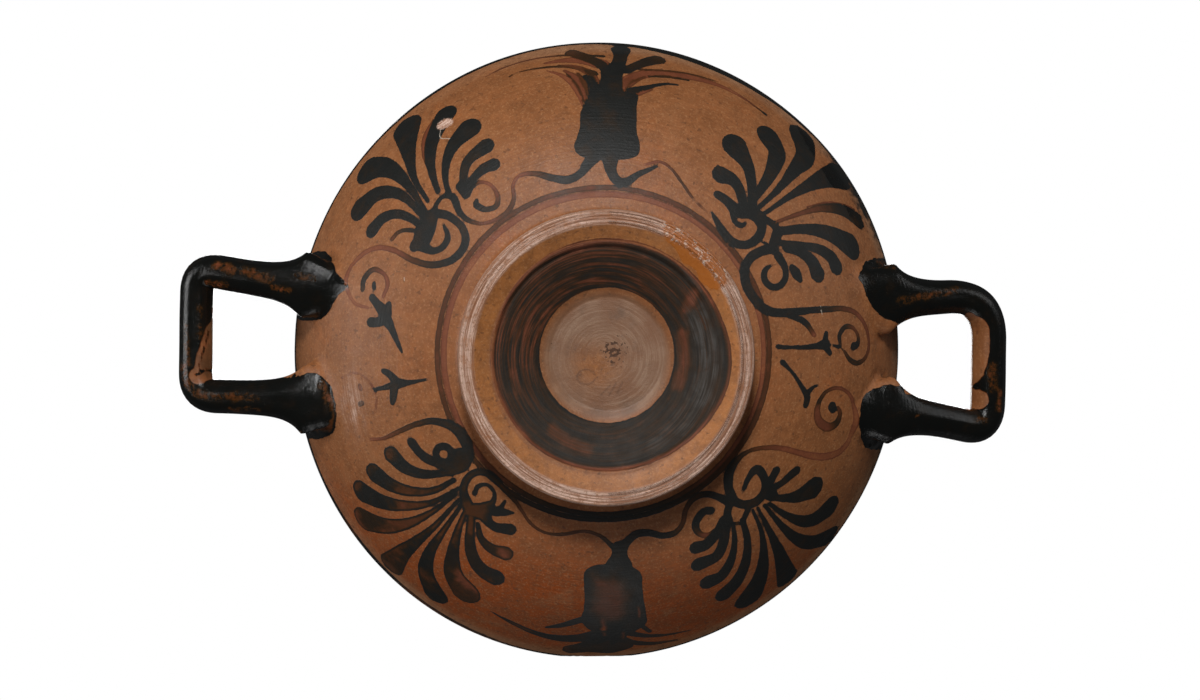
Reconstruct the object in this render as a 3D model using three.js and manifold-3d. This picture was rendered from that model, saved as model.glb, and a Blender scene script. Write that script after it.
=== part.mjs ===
// A low-footed kylix, the two-handled Greek drinking cup, as one fired-clay solid.
// Millimetres, +Z up. The cup stands on the flat ring of its foot at z = 0, its axis is the Z axis,
// and the two handles reach out along +X and -X.
import * as THREE from "three";
import { mergeVertices } from "three/addons/utils/BufferGeometryUtils.js";
import Module from "manifold-3d";

// Driving dimensions
const HEIGHT = 64; // foot ring to lip
const LIP_RADIUS = 95; // outside, front to back
const LIP_THICKNESS = 3.6;
const OVAL = 0.018; // the bowl was drawn in by this share across the handles
const FLOOR_HEIGHT = 16.6; // of the inside, at the centre
const FOOT_RADIUS = 43.3; // at the foot's widest
const FOOT_HEIGHT = 12; // up to where its side turns into the bowl
const FOOT_JOIN_RADIUS = 44.4; // where the hollow between foot and bowl ends
const RING_OUTER = 42.2; // flat ring that the cup stands on
const RING_INNER = 39;
const RECESS_HEIGHT = 11.2; // underside of the bowl, inside the foot
const DISC_RADIUS = 19.8; // plain disc at the middle of the recess

// Handles: one round roll of clay each, bent into a squarish loop that rises towards the lip. Both are
// drawn as if they stood on the +X side. An arm runs from its root in the wall past a point at the lip
// to the loop's corner: reach is how far out that corner is, end its place across, and bend its rounding.
const HANDLES = {
  right: {
    turn: 0,
    arms: [
      { root: -20.5, lip: -16, end: -17, reach: 121.7, bend: 14 },
      { root: 19, lip: 17.5, end: 25, reach: 121.4, bend: 8.5 },
    ],
  },
  left: {
    turn: Math.PI,
    arms: [
      { root: -17.5, lip: -13, end: -13.8, reach: 122.9, bend: 7 },
      { root: 19.5, lip: 19.8, end: 25.3, reach: 122.2, bend: 7 },
    ],
  },
};
const HANDLE_RADIUS = 5.2;
const ROOT_RADIUS = 70; // where the roll's ends lie hidden in the wall
const ROOT_HEIGHT = 40;
const LIP_POINT = 90; // how far out an arm's point at the lip is
const HANDLE_TOP = 57; // height of the outer bar's middle
const FLARE = 4.2; // the roll widens by this much where it is smeared onto the bowl
const FLARE_LENGTH = 34;

// Fineness
const TURN_STEPS = 72;
const CURVE_STEP = 6; // length of one chord along the longer curves
const ROLL_SIDES = 12;
const ROLL_STEPS = 34;

const wasm = await Module();
wasm.setup();

// A half section's points: a straight piece is one step, a curve at least four.
function sampled(section) {
  const points = [section.curves[0].getPoint(0)];
  for (const curve of section.curves) {
    const steps = curve.isLineCurve ? 1 : Math.max(4, Math.round(curve.getLength() / CURVE_STEP));
    points.push(...curve.getPoints(steps).slice(1));
  }
  return points;
}

// The cup's half section, from the axis under the foot, round the outside, over the lip and back.
function cupSection() {
  const lip = LIP_THICKNESS / 2;
  const section = new THREE.Path();
  section.moveTo(0, RECESS_HEIGHT);
  section.lineTo(DISC_RADIUS - 1.6, RECESS_HEIGHT - 0.6);
  section.lineTo(DISC_RADIUS, RECESS_HEIGHT - 1.4);
  section.quadraticCurveTo(26, 6.2, 32, 4);
  section.lineTo(33, 2.8);
  section.quadraticCurveTo(36, 1.8, RING_INNER, 0);
  section.lineTo(RING_OUTER, 0);
  section.quadraticCurveTo(FOOT_RADIUS + 0.1, 0.8, FOOT_RADIUS, 4);
  section.quadraticCurveTo(FOOT_RADIUS, 8.5, FOOT_RADIUS - 1.4, FOOT_HEIGHT);
  section.quadraticCurveTo(FOOT_RADIUS - 1.2, 14.6, FOOT_JOIN_RADIUS, 15.6);
  section.bezierCurveTo(70, 21, LIP_RADIUS - 8, 40, LIP_RADIUS, HEIGHT - lip);
  section.absarc(LIP_RADIUS - lip, HEIGHT - lip, lip, 0, Math.PI, false);
  section.bezierCurveTo(LIP_RADIUS - 11, 39, 60, FLOOR_HEIGHT, 0, FLOOR_HEIGHT);
  return sampled(section);
}

// A plain solid that fills the hollow and half of the wall, which cuts each handle off inside the clay.
function coreSection() {
  const middle = LIP_RADIUS - LIP_THICKNESS / 2;
  const section = new THREE.Path();
  section.moveTo(0, FLOOR_HEIGHT - 1.5);
  section.bezierCurveTo(61, FLOOR_HEIGHT - 1.5, middle - 8, 39, middle, HEIGHT);
  section.lineTo(0, HEIGHT);
  return sampled(section);
}

// Turns a half section round the Z axis, and draws it in across the handles, more towards the lip.
function turned(section) {
  const geometry = new THREE.LatheGeometry(section, TURN_STEPS).rotateX(Math.PI / 2);
  const place = geometry.getAttribute("position");
  for (let i = 0; i < place.count; i++) {
    const drawn = 1 - OVAL * THREE.MathUtils.smoothstep(place.getZ(i), FOOT_HEIGHT, HEIGHT);
    place.setX(i, place.getX(i) * drawn);
  }
  return geometry;
}

// The line along the middle of a handle's roll, from root to root: a squarish loop in plan, lifted so
// that it leaves the wall gently and steepens towards the outer bar.
function handleLine({ arms }) {
  const [first, last] = arms;
  const corners = arms.map(({ reach, end }) => new THREE.Vector2(reach, end));
  const roots = arms.map(({ root }) => new THREE.Vector2(ROOT_RADIUS, root));
  const lips = arms.map(({ lip }) => new THREE.Vector2(LIP_POINT, lip));
  const before = (corner, from, bend) => {
    const way = from.clone().sub(corner).normalize();
    return corner.clone().addScaledVector(way, bend);
  };
  const plan = new THREE.Path();
  const quad = (control, end) => plan.quadraticCurveTo(control.x, control.y, end.x, end.y);
  plan.moveTo(roots[0].x, roots[0].y);
  quad(lips[0], before(corners[0], lips[0], first.bend));
  quad(corners[0], before(corners[0], corners[1], first.bend));
  const barEnd = before(corners[1], corners[0], last.bend);
  plan.lineTo(barEnd.x, barEnd.y);
  quad(corners[1], before(corners[1], lips[1], last.bend));
  quad(lips[1], roots[1]);
  const lifted = plan.getSpacedPoints(ROLL_STEPS).map(({ x, y }) => {
    const out = (x - ROOT_RADIUS) / (first.reach - ROOT_RADIUS);
    return new THREE.Vector3(x, y, ROOT_HEIGHT + (HANDLE_TOP - ROOT_HEIGHT) * out ** 1.25);
  });
  return new THREE.CatmullRomCurve3(lifted);
}

function handleRoll(handle) {
  const line = handleLine(handle);
  const length = line.getLength();
  const geometry = new THREE.CylinderGeometry(1, 1, 1, ROLL_SIDES, ROLL_STEPS);
  const place = geometry.getAttribute("position");
  for (let i = 0; i < place.count; i++) {
    const share = place.getY(i) + 0.5;
    const along = line.getTangentAt(share);
    const up = new THREE.Vector3(0, 0, 1).addScaledVector(along, -along.z).normalize();
    const across = new THREE.Vector3().crossVectors(along, up);
    const fromRoot = Math.min(share, 1 - share) * length;
    const radius = HANDLE_RADIUS + FLARE * (1 - THREE.MathUtils.smoothstep(fromRoot, 0, FLARE_LENGTH));
    const point = line
      .getPointAt(share)
      .addScaledVector(across, radius * place.getX(i))
      .addScaledVector(up, radius * place.getZ(i));
    place.setXYZ(i, point.x, point.y, point.z);
  }
  return geometry;
}

// A closed geometry as a solid, and a solid as a geometry.
function solidOf(geometry) {
  const bare = geometry.clone();
  bare.deleteAttribute("normal");
  bare.deleteAttribute("uv");
  const merged = mergeVertices(bare, 1e-4);
  const vertProperties = merged.getAttribute("position").array;
  const triVerts = new Uint32Array(merged.index.array);
  return new wasm.Manifold(new wasm.Mesh({ numProp: 3, vertProperties, triVerts }));
}

function geometryOf(solid) {
  const mesh = solid.getMesh();
  const geometry = new THREE.BufferGeometry();
  geometry.setAttribute("position", new THREE.BufferAttribute(mesh.vertProperties, 3));
  geometry.setIndex(new THREE.BufferAttribute(mesh.triVerts, 1));
  geometry.computeVertexNormals();
  return geometry;
}

// Bowl, foot and both handles were joined wet and fired as one piece.
function kylix() {
  const core = solidOf(turned(coreSection()));
  let cup = solidOf(turned(cupSection()));
  for (const handle of Object.values(HANDLES)) {
    const roll = handleRoll(handle).rotateZ(handle.turn);
    cup = cup.add(solidOf(roll).subtract(core));
  }
  const clay = new THREE.MeshStandardMaterial({ color: 0xa8683f, roughness: 0.6, metalness: 0 });
  const mesh = new THREE.Mesh(geometryOf(cup), clay);
  mesh.name = "kylix";
  return mesh;
}

const group = new THREE.Group();
group.add(kylix());
export default group;
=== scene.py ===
"""A low-footed kylix seen from below: the fired-clay cup with its slip painting, on a plain pale floor.

Lengths are in millimetres until a mesh or object is made. The cup stands on its foot at z = 0, its axis
is the Z axis and the handles reach out along +X and -X. The painting is drawn on the outside of the bowl
laid out flat: a point at distance rho from the middle of the flat drawing, at angle theta, lies on the
wall at the same angle, as far up its curve as rho says.
"""

import math

import bpy
import numpy as np
from mathutils import Matrix, Vector
from mathutils.geometry import delaunay_2d_cdt

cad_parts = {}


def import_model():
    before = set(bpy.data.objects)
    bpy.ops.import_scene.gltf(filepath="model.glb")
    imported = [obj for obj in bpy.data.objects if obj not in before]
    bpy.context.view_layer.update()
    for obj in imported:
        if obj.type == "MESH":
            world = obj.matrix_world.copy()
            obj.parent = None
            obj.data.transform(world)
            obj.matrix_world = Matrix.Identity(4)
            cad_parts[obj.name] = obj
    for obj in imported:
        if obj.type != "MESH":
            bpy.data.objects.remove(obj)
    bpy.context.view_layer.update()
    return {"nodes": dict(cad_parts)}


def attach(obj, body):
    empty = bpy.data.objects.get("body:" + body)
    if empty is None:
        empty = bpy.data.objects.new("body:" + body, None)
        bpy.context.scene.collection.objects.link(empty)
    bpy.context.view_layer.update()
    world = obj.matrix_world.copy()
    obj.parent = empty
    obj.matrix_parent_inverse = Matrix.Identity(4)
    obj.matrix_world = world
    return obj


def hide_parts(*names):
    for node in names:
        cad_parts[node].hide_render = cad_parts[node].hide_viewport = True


MM = 0.001

# Bowl and foot
HEIGHT = 64.0
LIP_RADIUS = 95.0
LIP_THICKNESS = 3.6
OVAL = 0.018  # drawn in by this share across the handles
FLOOR_HEIGHT = 16.6
FOOT_RADIUS = 43.3
FOOT_HEIGHT = 12.0
FOOT_JOIN = (44.4, 15.6)
RING_OUTER = 42.6
RING_INNER = 39.0
RING_GROOVES = ((0.3, 0.42), (0.55, 0.63), (0.78, 0.86))  # as shares of the way across the ring
GROOVE_DEPTH = 0.16
RECESS_HEIGHT = 11.2
DISC_RADIUS = 19.8
TURN_STEPS = 294
EDGE_GAP = 0.34  # between mesh points along a painted edge, and beside it
SIDE_GAP = 0.42

# Handles, drawn as if both stood on the +X side. An arm runs from its root in the wall past a point at
# the lip to the loop's corner: reach is how far out that corner is, end its place across, and bend its
# rounding. radius is half the arm's thickness, and spread is how much wider the root is smeared, to the
# loop's outside and to its inside.
HANDLES = {
    "right": {
        "turn": 0.0,
        "bar": 5.35,
        "arms": (
            {"root": -20.5, "lip": -16.0, "end": -17.0, "reach": 121.3, "bend": 14.0, "radius": 5.05,
             "spread": (2.9, 4.8)},
            {"root": 19.0, "lip": 17.5, "end": 25.0, "reach": 121.1, "bend": 8.5, "radius": 5.1,
             "spread": (2.6, 4.4)},
        ),
    },
    "left": {
        "turn": math.pi,
        "bar": 5.1,
        "arms": (
            {"root": -17.5, "lip": -13.0, "end": -13.8, "reach": 122.7, "bend": 7.0, "radius": 5.15,
             "spread": (3.2, 4.4)},
            {"root": 19.5, "lip": 19.8, "end": 25.3, "reach": 122.0, "bend": 7.0, "radius": 5.25,
             "spread": (3.1, 3.2)},
        ),
    },
}
ROOT_RADIUS = 70.0
ROOT_HEIGHT = 40.0
LIP_POINT = 90.0
HANDLE_TOP = 57.0
ROLL_SIDES = 42
ROLL_STEPS = 144
SOFTENING = 3.2  # how far the corner between a roll and the wall is filled
COAT_START = 87.5  # a roll is coated beyond this distance from the axis
COAT_ROUND = 97.5  # and beyond this x on every side, even where its inner flare is bare
COAT_HALF = 6.6  # half the width of the coat on such a flare


# ---------------------------------------------------------------- curves

def smoothstep(x, low, high):
    t = np.clip((np.asarray(x, float) - low) / (high - low), 0, 1)
    return t * t * (3 - 2 * t)


def bezier(points, steps):
    """Points along a Bezier curve of two to four control points."""
    points = [np.array(p, float) for p in points]
    t = np.linspace(0, 1, steps + 1)[:, None]
    while len(points) > 1:
        points = [a + (b - a) * t for a, b in zip(points, points[1:])]
    return points[0] + np.zeros_like(t)


def joined(*pieces):
    """One line from several that meet end to end."""
    return np.concatenate([pieces[0], *[p[1:] for p in pieces[1:]]])


def smooth_line(points, steps=8):
    """A smooth line through the points, any number of values each."""
    p = np.array(points, float)
    p = np.concatenate([2 * p[:1] - p[1:2], p, 2 * p[-1:] - p[-2:-1]])
    t = np.linspace(0, 1, steps, endpoint=False)[:, None]
    parts = []
    for a, b, c, d in zip(p, p[1:], p[2:], p[3:]):
        parts.append(
            b + 0.5 * t * (c - a + t * (2 * a - 5 * b + 4 * c - d + t * (3 * (b - c) + d - a)))
        )
    return np.concatenate([*parts, p[-2:-1]])


def smooth_loop(points, steps=6):
    """A smooth closed line through the points; its last point is its first again."""
    line = smooth_line(points[-2:] + points + points[:2], steps)
    return line[2 * steps : (len(points) + 2) * steps + 1]


def bell(x, middle, width):
    """1 at the middle, falling off smoothly to either side."""
    return np.exp(-(((x - middle) / width) ** 2))


def lengths_along(line):
    return np.concatenate([[0], np.cumsum(np.linalg.norm(np.diff(line, axis=0), axis=1))])


def noise(x, seed):
    """Smooth wavering between about -1 and 1 of one or more coordinates, columns of x."""
    rng = np.random.default_rng(seed)
    x = np.atleast_2d(np.asarray(x, float).T).T
    total = 0
    for k in range(5):
        direction = rng.normal(size=x.shape[1]) * (1 + 0.8 * k)
        total = total + np.sin(x @ direction + rng.uniform(0, 6.28)) / (1 + 0.5 * k)
    return total / 2


# ---------------------------------------------------------------- the bowl's wall, laid out flat

WALL = bezier([FOOT_JOIN, (70, 21), (LIP_RADIUS - 8, 40), (LIP_RADIUS, HEIGHT - LIP_THICKNESS / 2)], 600)
WALL_RHO = FOOT_JOIN[0] + lengths_along(WALL)
WALL_OUT = np.gradient(WALL, axis=0)[:, ::-1] * (1, -1)
WALL_OUT /= np.linalg.norm(WALL_OUT, axis=1, keepdims=True)
RHO_FOOT = WALL_RHO[0]
RHO_LIP = WALL_RHO[-1]


def drawn_in(z):
    """The share of its round radius that the bowl keeps across the handles, at height z."""
    return 1 - OVAL * smoothstep(z, FOOT_HEIGHT, HEIGHT)


def wobble(theta, z):
    """The unevenness of a hand-turned wall, which leans a little to one side, in millimetres."""
    turns = np.stack([np.cos(theta), np.sin(theta), np.asarray(z) / 40 + 0 * theta], -1)
    swell = 0.6 * bell(theta, 2.15, 0.6) + 0.45 * bell(theta, -0.6, 0.3)
    dent = 0.5 * bell(theta, -2.0, 0.4)
    return 0.06 + 0.62 * np.cos(theta - 0.35) + swell - dent - 0.1 * noise(1.3 * turns, 4)


def relief(flat):
    """How far the wall stands out, in millimetres: pads of clay smeared round the handles' roots, and a
    shallow flake lost from one petal."""
    height = np.zeros(len(flat))
    for outline in ROOTS:
        height = np.maximum(height, 1.0 * smoothstep(inside_outline(flat, outline, 4.0), -0.5, 2.8))
    height = height * (1 - smoothstep(np.hypot(flat[:, 0], flat[:, 1]), RHO_LIP - 10, RHO_LIP - 1))
    return height - 0.45 * smoothstep(inside_outline(flat, CHIP, 2.0), -0.15, 0.5)


def on_wall(flat):
    """Points of the flat drawing placed on the outside of the bowl."""
    rho = np.hypot(flat[:, 0], flat[:, 1])
    theta = np.arctan2(flat[:, 1], flat[:, 0])
    r, z, out_r, out_z = (np.interp(rho, WALL_RHO, column) for column in (*WALL.T, *WALL_OUT.T))
    height = relief(flat) * (1 - smoothstep(rho, RHO_LIP - 2.5, RHO_LIP))
    return spun(r + height * out_r, z + height * out_z, theta)


def spun(r, z, theta):
    """Points of the turned body at radius r, height z and angle theta, with its unevenness."""
    bowl = smoothstep(z, 20, 60)
    r = r + bowl * wobble(theta, z)
    dip = np.maximum(1 + noise(np.stack([np.cos(theta), np.sin(theta)], -1), 9), 0.2)
    z = z - 0.25 * smoothstep(z, 50, HEIGHT) * dip
    y = np.clip(r * np.sin(theta), 0.05 - LIP_RADIUS, LIP_RADIUS - 0.05)
    return np.stack([r * np.cos(theta) * drawn_in(z), y, z], -1)


def laid_flat(points):
    """Where points on or near the outside of the bowl lie in the flat drawing."""
    theta = np.arctan2(points[:, 1], points[:, 0] / drawn_in(points[:, 2]))
    rho = np.interp(points[:, 2], WALL[:, 1], WALL_RHO)
    return np.stack([rho * np.cos(theta), rho * np.sin(theta)], -1)


# ---------------------------------------------------------------- brush strokes on the flat drawing

BLACK = 1.0
STROKES = []
AREAS = []
TINTS = []  # thinner places inside a stroke or an area: line, half width, change of strength

# on the flat drawing: outlines of the black round each handle's root, lines of the pale scratches, and
# the outline of the flake lost from a petal
ROOTS = [
    smooth_loop(outline)
    for outline in (
        [(-118, -37.5), (-110, -37), (-102, -36.2), (-95, -34), (-90.5, -29.5), (-87.5, -26),
         (-84.4, -23.6), (-82, -21.6), (-85, -20.2), (-87.6, -18), (-90, -15), (-93.5, -12.6), (-99, -11),
         (-106, -11), (-113, -12), (-118, -14)],
        [(-118, 8), (-111, 8.6), (-104, 7), (-98, 6.6), (-93, 8.6), (-89.4, 11.6), (-87.8, 16), (-88, 21),
         (-89.6, 25.4), (-94, 28.6), (-100, 30.6), (-108, 32.6), (-118, 36)],
        [(118, -38), (111, -34.6), (103, -33.2), (97, -32.2), (91.4, -30.4), (88.6, -28), (85.8, -25),
         (87.8, -22), (89.4, -18.4), (93, -14.6), (98, -12), (104, -10.8), (111, -9.8), (118, -8)],
        [(118, 11.8), (110, 12.6), (103, 11), (96.6, 12), (90, 12.8), (86.6, 15.6), (85.8, 19.6),
         (86.4, 24), (88.4, 28.4), (92.4, 32.6), (98.4, 35), (106, 36.6), (118, 39)],
    )
]
SCRAPES = [
    [(-53.6, -75), (-53.5, -71.6), (-52.2, -70), (-49.2, -69.6)],
    [(67.3, -14.8), (67.7, -12.2)],
    [(-60.4, -23.6), (-60.2, -22.6)],
]
CHIP = smooth_loop([(-55.3, -77.6), (-53.6, -79), (-51.2, -78.8), (-49.4, -77.2), (-50.2, -75.6),
                    (-52.6, -74.8), (-54.8, -75.4)])

# seen in plan: outlines of the clay left bare on the loops' inner sides, drops and runs of slip on it, as
# lines with a half width, and streaks where the slip is rubbed thin, as lines with a half width and how
# far they are worn
BARE = [
    smooth_loop(outline)
    for outline in (
        [(113.5, -11.4), (116.6, -10.6), (119, -9.2), (120.5, -6.4), (120.7, -2), (120.4, 3), (119.2, 6.4),
         (118.8, 9), (117.2, 10.2), (117.8, 12.2), (119.8, 13.2), (120.6, 15.6), (119, 17.8), (116, 18.2),
         (113, 17.4), (112, 8), (112, -4)],
        [(-115, -14.4), (-117, -13.8), (-117.6, -12.4), (-117.4, -10.6), (-119.2, -7.4), (-120.4, -3.6),
         (-121.8, 0), (-122.4, 2.6), (-122.8, 4.6), (-124.2, 6), (-124.4, 8), (-122.8, 9.6), (-120.4, 9.6),
         (-118.6, 8.4), (-114, 7), (-113, -4)],
    )
]
STAINS = [
    ([(-118.6, -6), (-119.8, -1), (-121.4, 4.4)], 0.25),
    ([(-122.4, 7.0), (-119.4, 5.2), (-116.6, 6.4)], 0.45),
    ([(117.0, 11.4), (119.2, 8.6)], 0.9),
]
WORN = [
    ([(-115.6, -26.2), (-111.2, -25)], 1.7, 0.75),
    ([(-118.4, -21.2), (-113, -20.2)], 0.9, 0.9),
    ([(-108, -24.6), (-103, -23.4), (-99, -22.2)], 1.4, 0.6),
    ([(-98.6, -19.8), (-93.6, -18.8)], 0.8, 0.9),
    ([(-92, -23.6), (-86, -22.8)], 0.9, 0.5),
    ([(-126.2, 4), (-125.6, 9), (-122.4, 12.6), (-115, 13.8)], 1.3, 0.6),
    ([(-112.6, 12.8), (-104, 13.8)], 1.3, 0.55),
    ([(-112, 17.4), (-103, 17.2)], 0.8, 0.5),
    ([(-83.6, 9.6), (-81.4, 14.6)], 1.4, 0.6),
    ([(-125.4, -8), (-124.4, 4)], 0.9, 0.5),
    ([(-121.5, -14), (-121, -4)], 0.8, 0.4),
    ([(91, -15.6), (98, -16.8), (109.6, -18.8)], 1.2, 0.6),
    ([(86.4, -27), (90, -26)], 1.2, 0.5),
    ([(121.4, 4.6), (122, 11.8)], 1.7, 0.6),
    ([(124.4, 12.8), (124, 18.4)], 1.0, 0.7),
    ([(117, 20.6), (119.6, 21.6)], 1.0, 0.5),
    ([(96.6, 19.4), (97, 20)], 0.4, 1.0),
]

# seen in plan on the underside: slip that fired red, slip grazed grey with painted sheen on the black
# band's right, as lines with a half width and an amount, old varnish on the foot, and the flake lost at its
# edge
MISFIRED = [
    ([(-15.4, 21.2), (-12, 24.2)], 2.0, 0.32),
    ([(-12, 24.4), (-5.5, 27.0)], 1.8, 0.28),
    ([(22.8, -6.6), (22.9, 1.6), (21.2, 8.4)], 1.9, 0.32),
    ([(23.4, -14.4), (25.6, -19)], 1.5, 0.32),
]
# grey grazes on the black band: partly real scratches, partly painted sheen on its right side
GRAZED_AND_SHEEN = [
    ([(26, -12.5), (29.6, -4), (29.6, 4), (27.6, 11.5)], 3.2, 0.8),
    ([(25.5, 14), (21, 20), (14, 25)], 2.0, 0.4),
    ([(23.4, -25.4), (25.2, -22.4), (27.6, -20.2)], 0.7, 1.3),
]
FLAKE = [([(21.8, -26.4), (24.6, -23.6), (27.2, -19.8)], 0.35, 1.0)]
SCRATCHED = [
    ([(-5.5 + 2.7 * math.cos(a), 5.9 + 2.2 * math.sin(a)) for a in np.linspace(0.3, 6.0, 14)], 0.28, 1.0),
    ([(-1.2, 11.2), (1.6, 8.4)], 0.26, 0.9),
    ([(1.2, 11.4), (3.2, 7.8)], 0.26, 1.0),
    ([(3.6, 10.6), (5.2, 7.4)], 0.26, 0.8),
]
VARNISH = smooth_loop([
    (15.6, -38.8), (18.4, -39.8), (21.4, -37.6), (24.6, -36.4), (28.2, -34.2), (32.4, -29.8), (35.2, -25.4),
    (34.4, -21.6), (31.4, -19.6), (28.4, -21.2), (25.8, -25), (22.6, -27.6), (20.2, -30.6), (17.4, -34.2),
])


def inside_outline(points, outline, reach):
    """How far each point lies inside a closed outline, in millimetres, from -reach to reach."""
    gap = np.full(len(points), -reach)
    near = np.nonzero(((points > outline.min(0) - reach) & (points < outline.max(0) + reach)).all(1))[0]
    for rows in np.array_split(near, len(near) // 4000 + 1):
        x, y = points[rows, 0:1], points[rows, 1:2]
        (x0, y0), (x1, y1) = outline[:-1].T, outline[1:].T
        run_x, run_y = x1 - x0, y1 - y0
        share = ((x - x0) * run_x + (y - y0) * run_y) / np.maximum(run_x**2 + run_y**2, 1e-9)
        share = np.clip(share, 0, 1)
        distance = np.hypot(x - x0 - share * run_x, y - y0 - share * run_y).min(1)
        crossed = (y0 > y) != (y1 > y)
        rise = np.where(np.abs(run_y) < 1e-12, 1e-12, run_y)
        beyond = x < x0 + (y - y0) * run_x / rise
        inside = (crossed & beyond).sum(1) % 2 == 1
        gap[rows] = np.clip(np.where(inside, distance, -distance), -reach, reach)
    return gap


def area(points, slip=BLACK):
    """A closed outline filled with slip, smooth through its points."""
    AREAS.append((smooth_loop(points), slip))


def brush(points, halves, slip=BLACK, steps=8):
    """A stroke through the points with a half width and a strength of slip, each one value or one per
    point. Strength 1 is full black, and thin slip fires red-brown."""
    halves = np.broadcast_to(np.array(halves, float), len(points))
    slips = np.broadcast_to(np.array(slip, float), len(points))
    STROKES.append(smooth_line([(*p, h, s) for p, h, s in zip(points, halves, slips)], steps))


def petal(points, head, root=0.7, slip=BLACK, swell=2.0):
    """A club-shaped petal: thin at its root and swelling into a round head at the last point."""
    line = smooth_line(points)
    share = lengths_along(line) / lengths_along(line)[-1]
    halves = root + (head - root) * share**swell
    slips = np.interp(share, np.linspace(0, 1, np.size(slip)), np.atleast_1d(slip))
    STROKES.append(np.column_stack([line, halves, slips]))


def line_gap(points, line):
    """Distance of points from a line through a few points, in the plane."""
    best = np.full(len(points), 1e3)
    for a, b in zip(line, line[1:]):
        a, b = np.array(a, float), np.array(b, float)
        share = np.clip((points - a) @ (b - a) / ((b - a) ** 2).sum(), 0, 1)
        best = np.minimum(best, np.linalg.norm(points - a - share[:, None] * (b - a), axis=1))
    return best


def ragged(points, amount):
    """Places in plan, shifted about a little, so that marks looked up there get uneven edges."""
    return points[:, :2] + amount * np.stack([noise(points / 1.5, 71), noise(points / 1.5, 72)], -1)


def marked(places, marks):
    """The strongest of several marks at each place; a mark is a line, its half width and an amount."""
    best = np.zeros(len(places))
    for line, half, amount in marks:
        spot = 1 - smoothstep(line_gap(places, line), 0.3 * half, 1.5 * half)
        best = np.maximum(best, amount * spot)
    return best


def draw_upper_left_palmette():
    petal([(-57, -38), (-60.5, -38.5), (-63.5, -38), (-65.5, -36)], 0.8, slip=(1, 0.5))
    petal([(-54, -38), (-59, -42), (-65, -44.3), (-70.5, -43.3), (-74.2, -39.8)], 2.7, root=1.2)
    petal([(-53, -40), (-60, -47.5), (-66.5, -51.8), (-75, -52.8), (-82, -48.8)], 4.6, root=1.0)
    petal([(-53, -42), (-60, -51.5), (-67, -58.8), (-75, -63.5), (-83, -64.6)], 5.9, root=0.9)
    petal([(-54, -47.5), (-60, -56), (-63.8, -65), (-66.8, -73), (-69.4, -80.3)], 6.3, root=0.8)
    petal([(-50.8, -50.4), (-53.2, -56), (-55.2, -63), (-55.6, -71), (-53.2, -81.5)], 4.4, root=1.0,
          swell=1.5)
    brush([(-55.3, -59), (-58, -66), (-59, -73), (-57.8, -80)], (0.5, 1.2, 1.3, 0.6), slip=0.42)
    brush([(-53.6, -58), (-55.6, -65), (-56.6, -73)], (0.4, 0.9, 0.7), slip=0.6)
    petal([(-46.6, -48.5), (-48.6, -54), (-49, -61), (-47, -67.5), (-42.8, -72.6)], 4.3, root=0.9)
    petal([(-42.2, -49.5), (-42.6, -56), (-41.3, -60.5), (-36.2, -64.8)], 2.9, root=1.3)
    petal([(-41.2, -48.5), (-39.5, -53.5), (-36.3, -56.8), (-33.3, -58)], 2.2, root=1.3)
    brush([(-43.5, -51.5), (-41.6, -48)], (1.6, 1.0))
    # the left volute and its tendril to the spiral by the handle
    brush(
        [(-51.8, -43.4), (-46.5, -42), (-42, -38), (-41.2, -33), (-45, -28.6), (-51.5, -27.2), (-58, -29),
         (-64.5, -32.3), (-71, -33.6), (-77, -32), (-81.6, -28), (-82.4, -22), (-79, -16.5), (-73, -14.6)],
        (1.6, 1.3, 1.2, 1.3, 1.2, 1.1, 1.0, 0.9, 0.9, 0.9, 0.8, 0.7, 0.6, 0.5),
        slip=(1, 1, 0.9, 1, 1, 0.8, 0.6, 0.4, 0.3, 0.3, 0.3, 0.25, 0.25, 0.2),
    )
    brush([(-57.5, -33), (-55, -35), (-54, -38.5), (-52.5, -42)], (1.6, 3.0, 3.4, 2.6))
    brush([(-54.5, -33), (-51, -31.4), (-47.8, -32.8), (-46.6, -35.8), (-48.2, -39.6)],
          (1.8, 1.1, 1.1, 1.0, 0.4))
    brush([(-75.6, -20.5), (-75.2, -24), (-71.8, -26.6), (-67.6, -25), (-66, -21.6), (-67.4, -18)],
          (0.9, 1.1, 0.9, 0.7, 0.8, 0.6), slip=(0.7, 0.9, 0.6, 0.35, 0.35, 0.3))
    brush([(-71.2, -22.2), (-71, -20.8)], 0.8)
    # the link, the right volute and the tendril to the lotus
    brush([(-51.5, -43), (-50.8, -46.4), (-48.6, -48.6), (-45.8, -48.2), (-44.4, -46)],
          (1.2, 0.8, 0.9, 1.2, 1.2))
    brush(
        [(-44.6, -46.5), (-43.2, -43), (-40.2, -40.4), (-36, -39.3), (-31.5, -40.6), (-28, -43.4),
         (-26.6, -47), (-27, -50.8), (-25, -53.9), (-20.5, -54.4), (-15, -52.8), (-10.5, -52.3),
         (-6.5, -54.6), (-4.2, -58.5)],
        (1.2, 1.0, 0.8, 0.6, 0.7, 0.8, 0.7, 0.6, 0.7, 0.9, 1.2, 1.3, 1.3, 1.6),
        slip=(1, 1, 0.8, 0.4, 0.5, 0.6, 0.5, 0.35, 0.35, 0.6, 0.9, 1, 1, 1),
    )
    brush([(-40.2, -51), (-37, -52.4), (-33.6, -51), (-31.6, -47.6), (-32, -44.6), (-35, -43.6),
           (-38, -45), (-38, -46.6)], (1.1, 0.7, 0.6, 0.8, 0.9, 0.9, 1.1, 0.6),
          slip=(1, 0.4, 0.35, 0.5, 0.8, 0.8, 1, 1))


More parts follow.
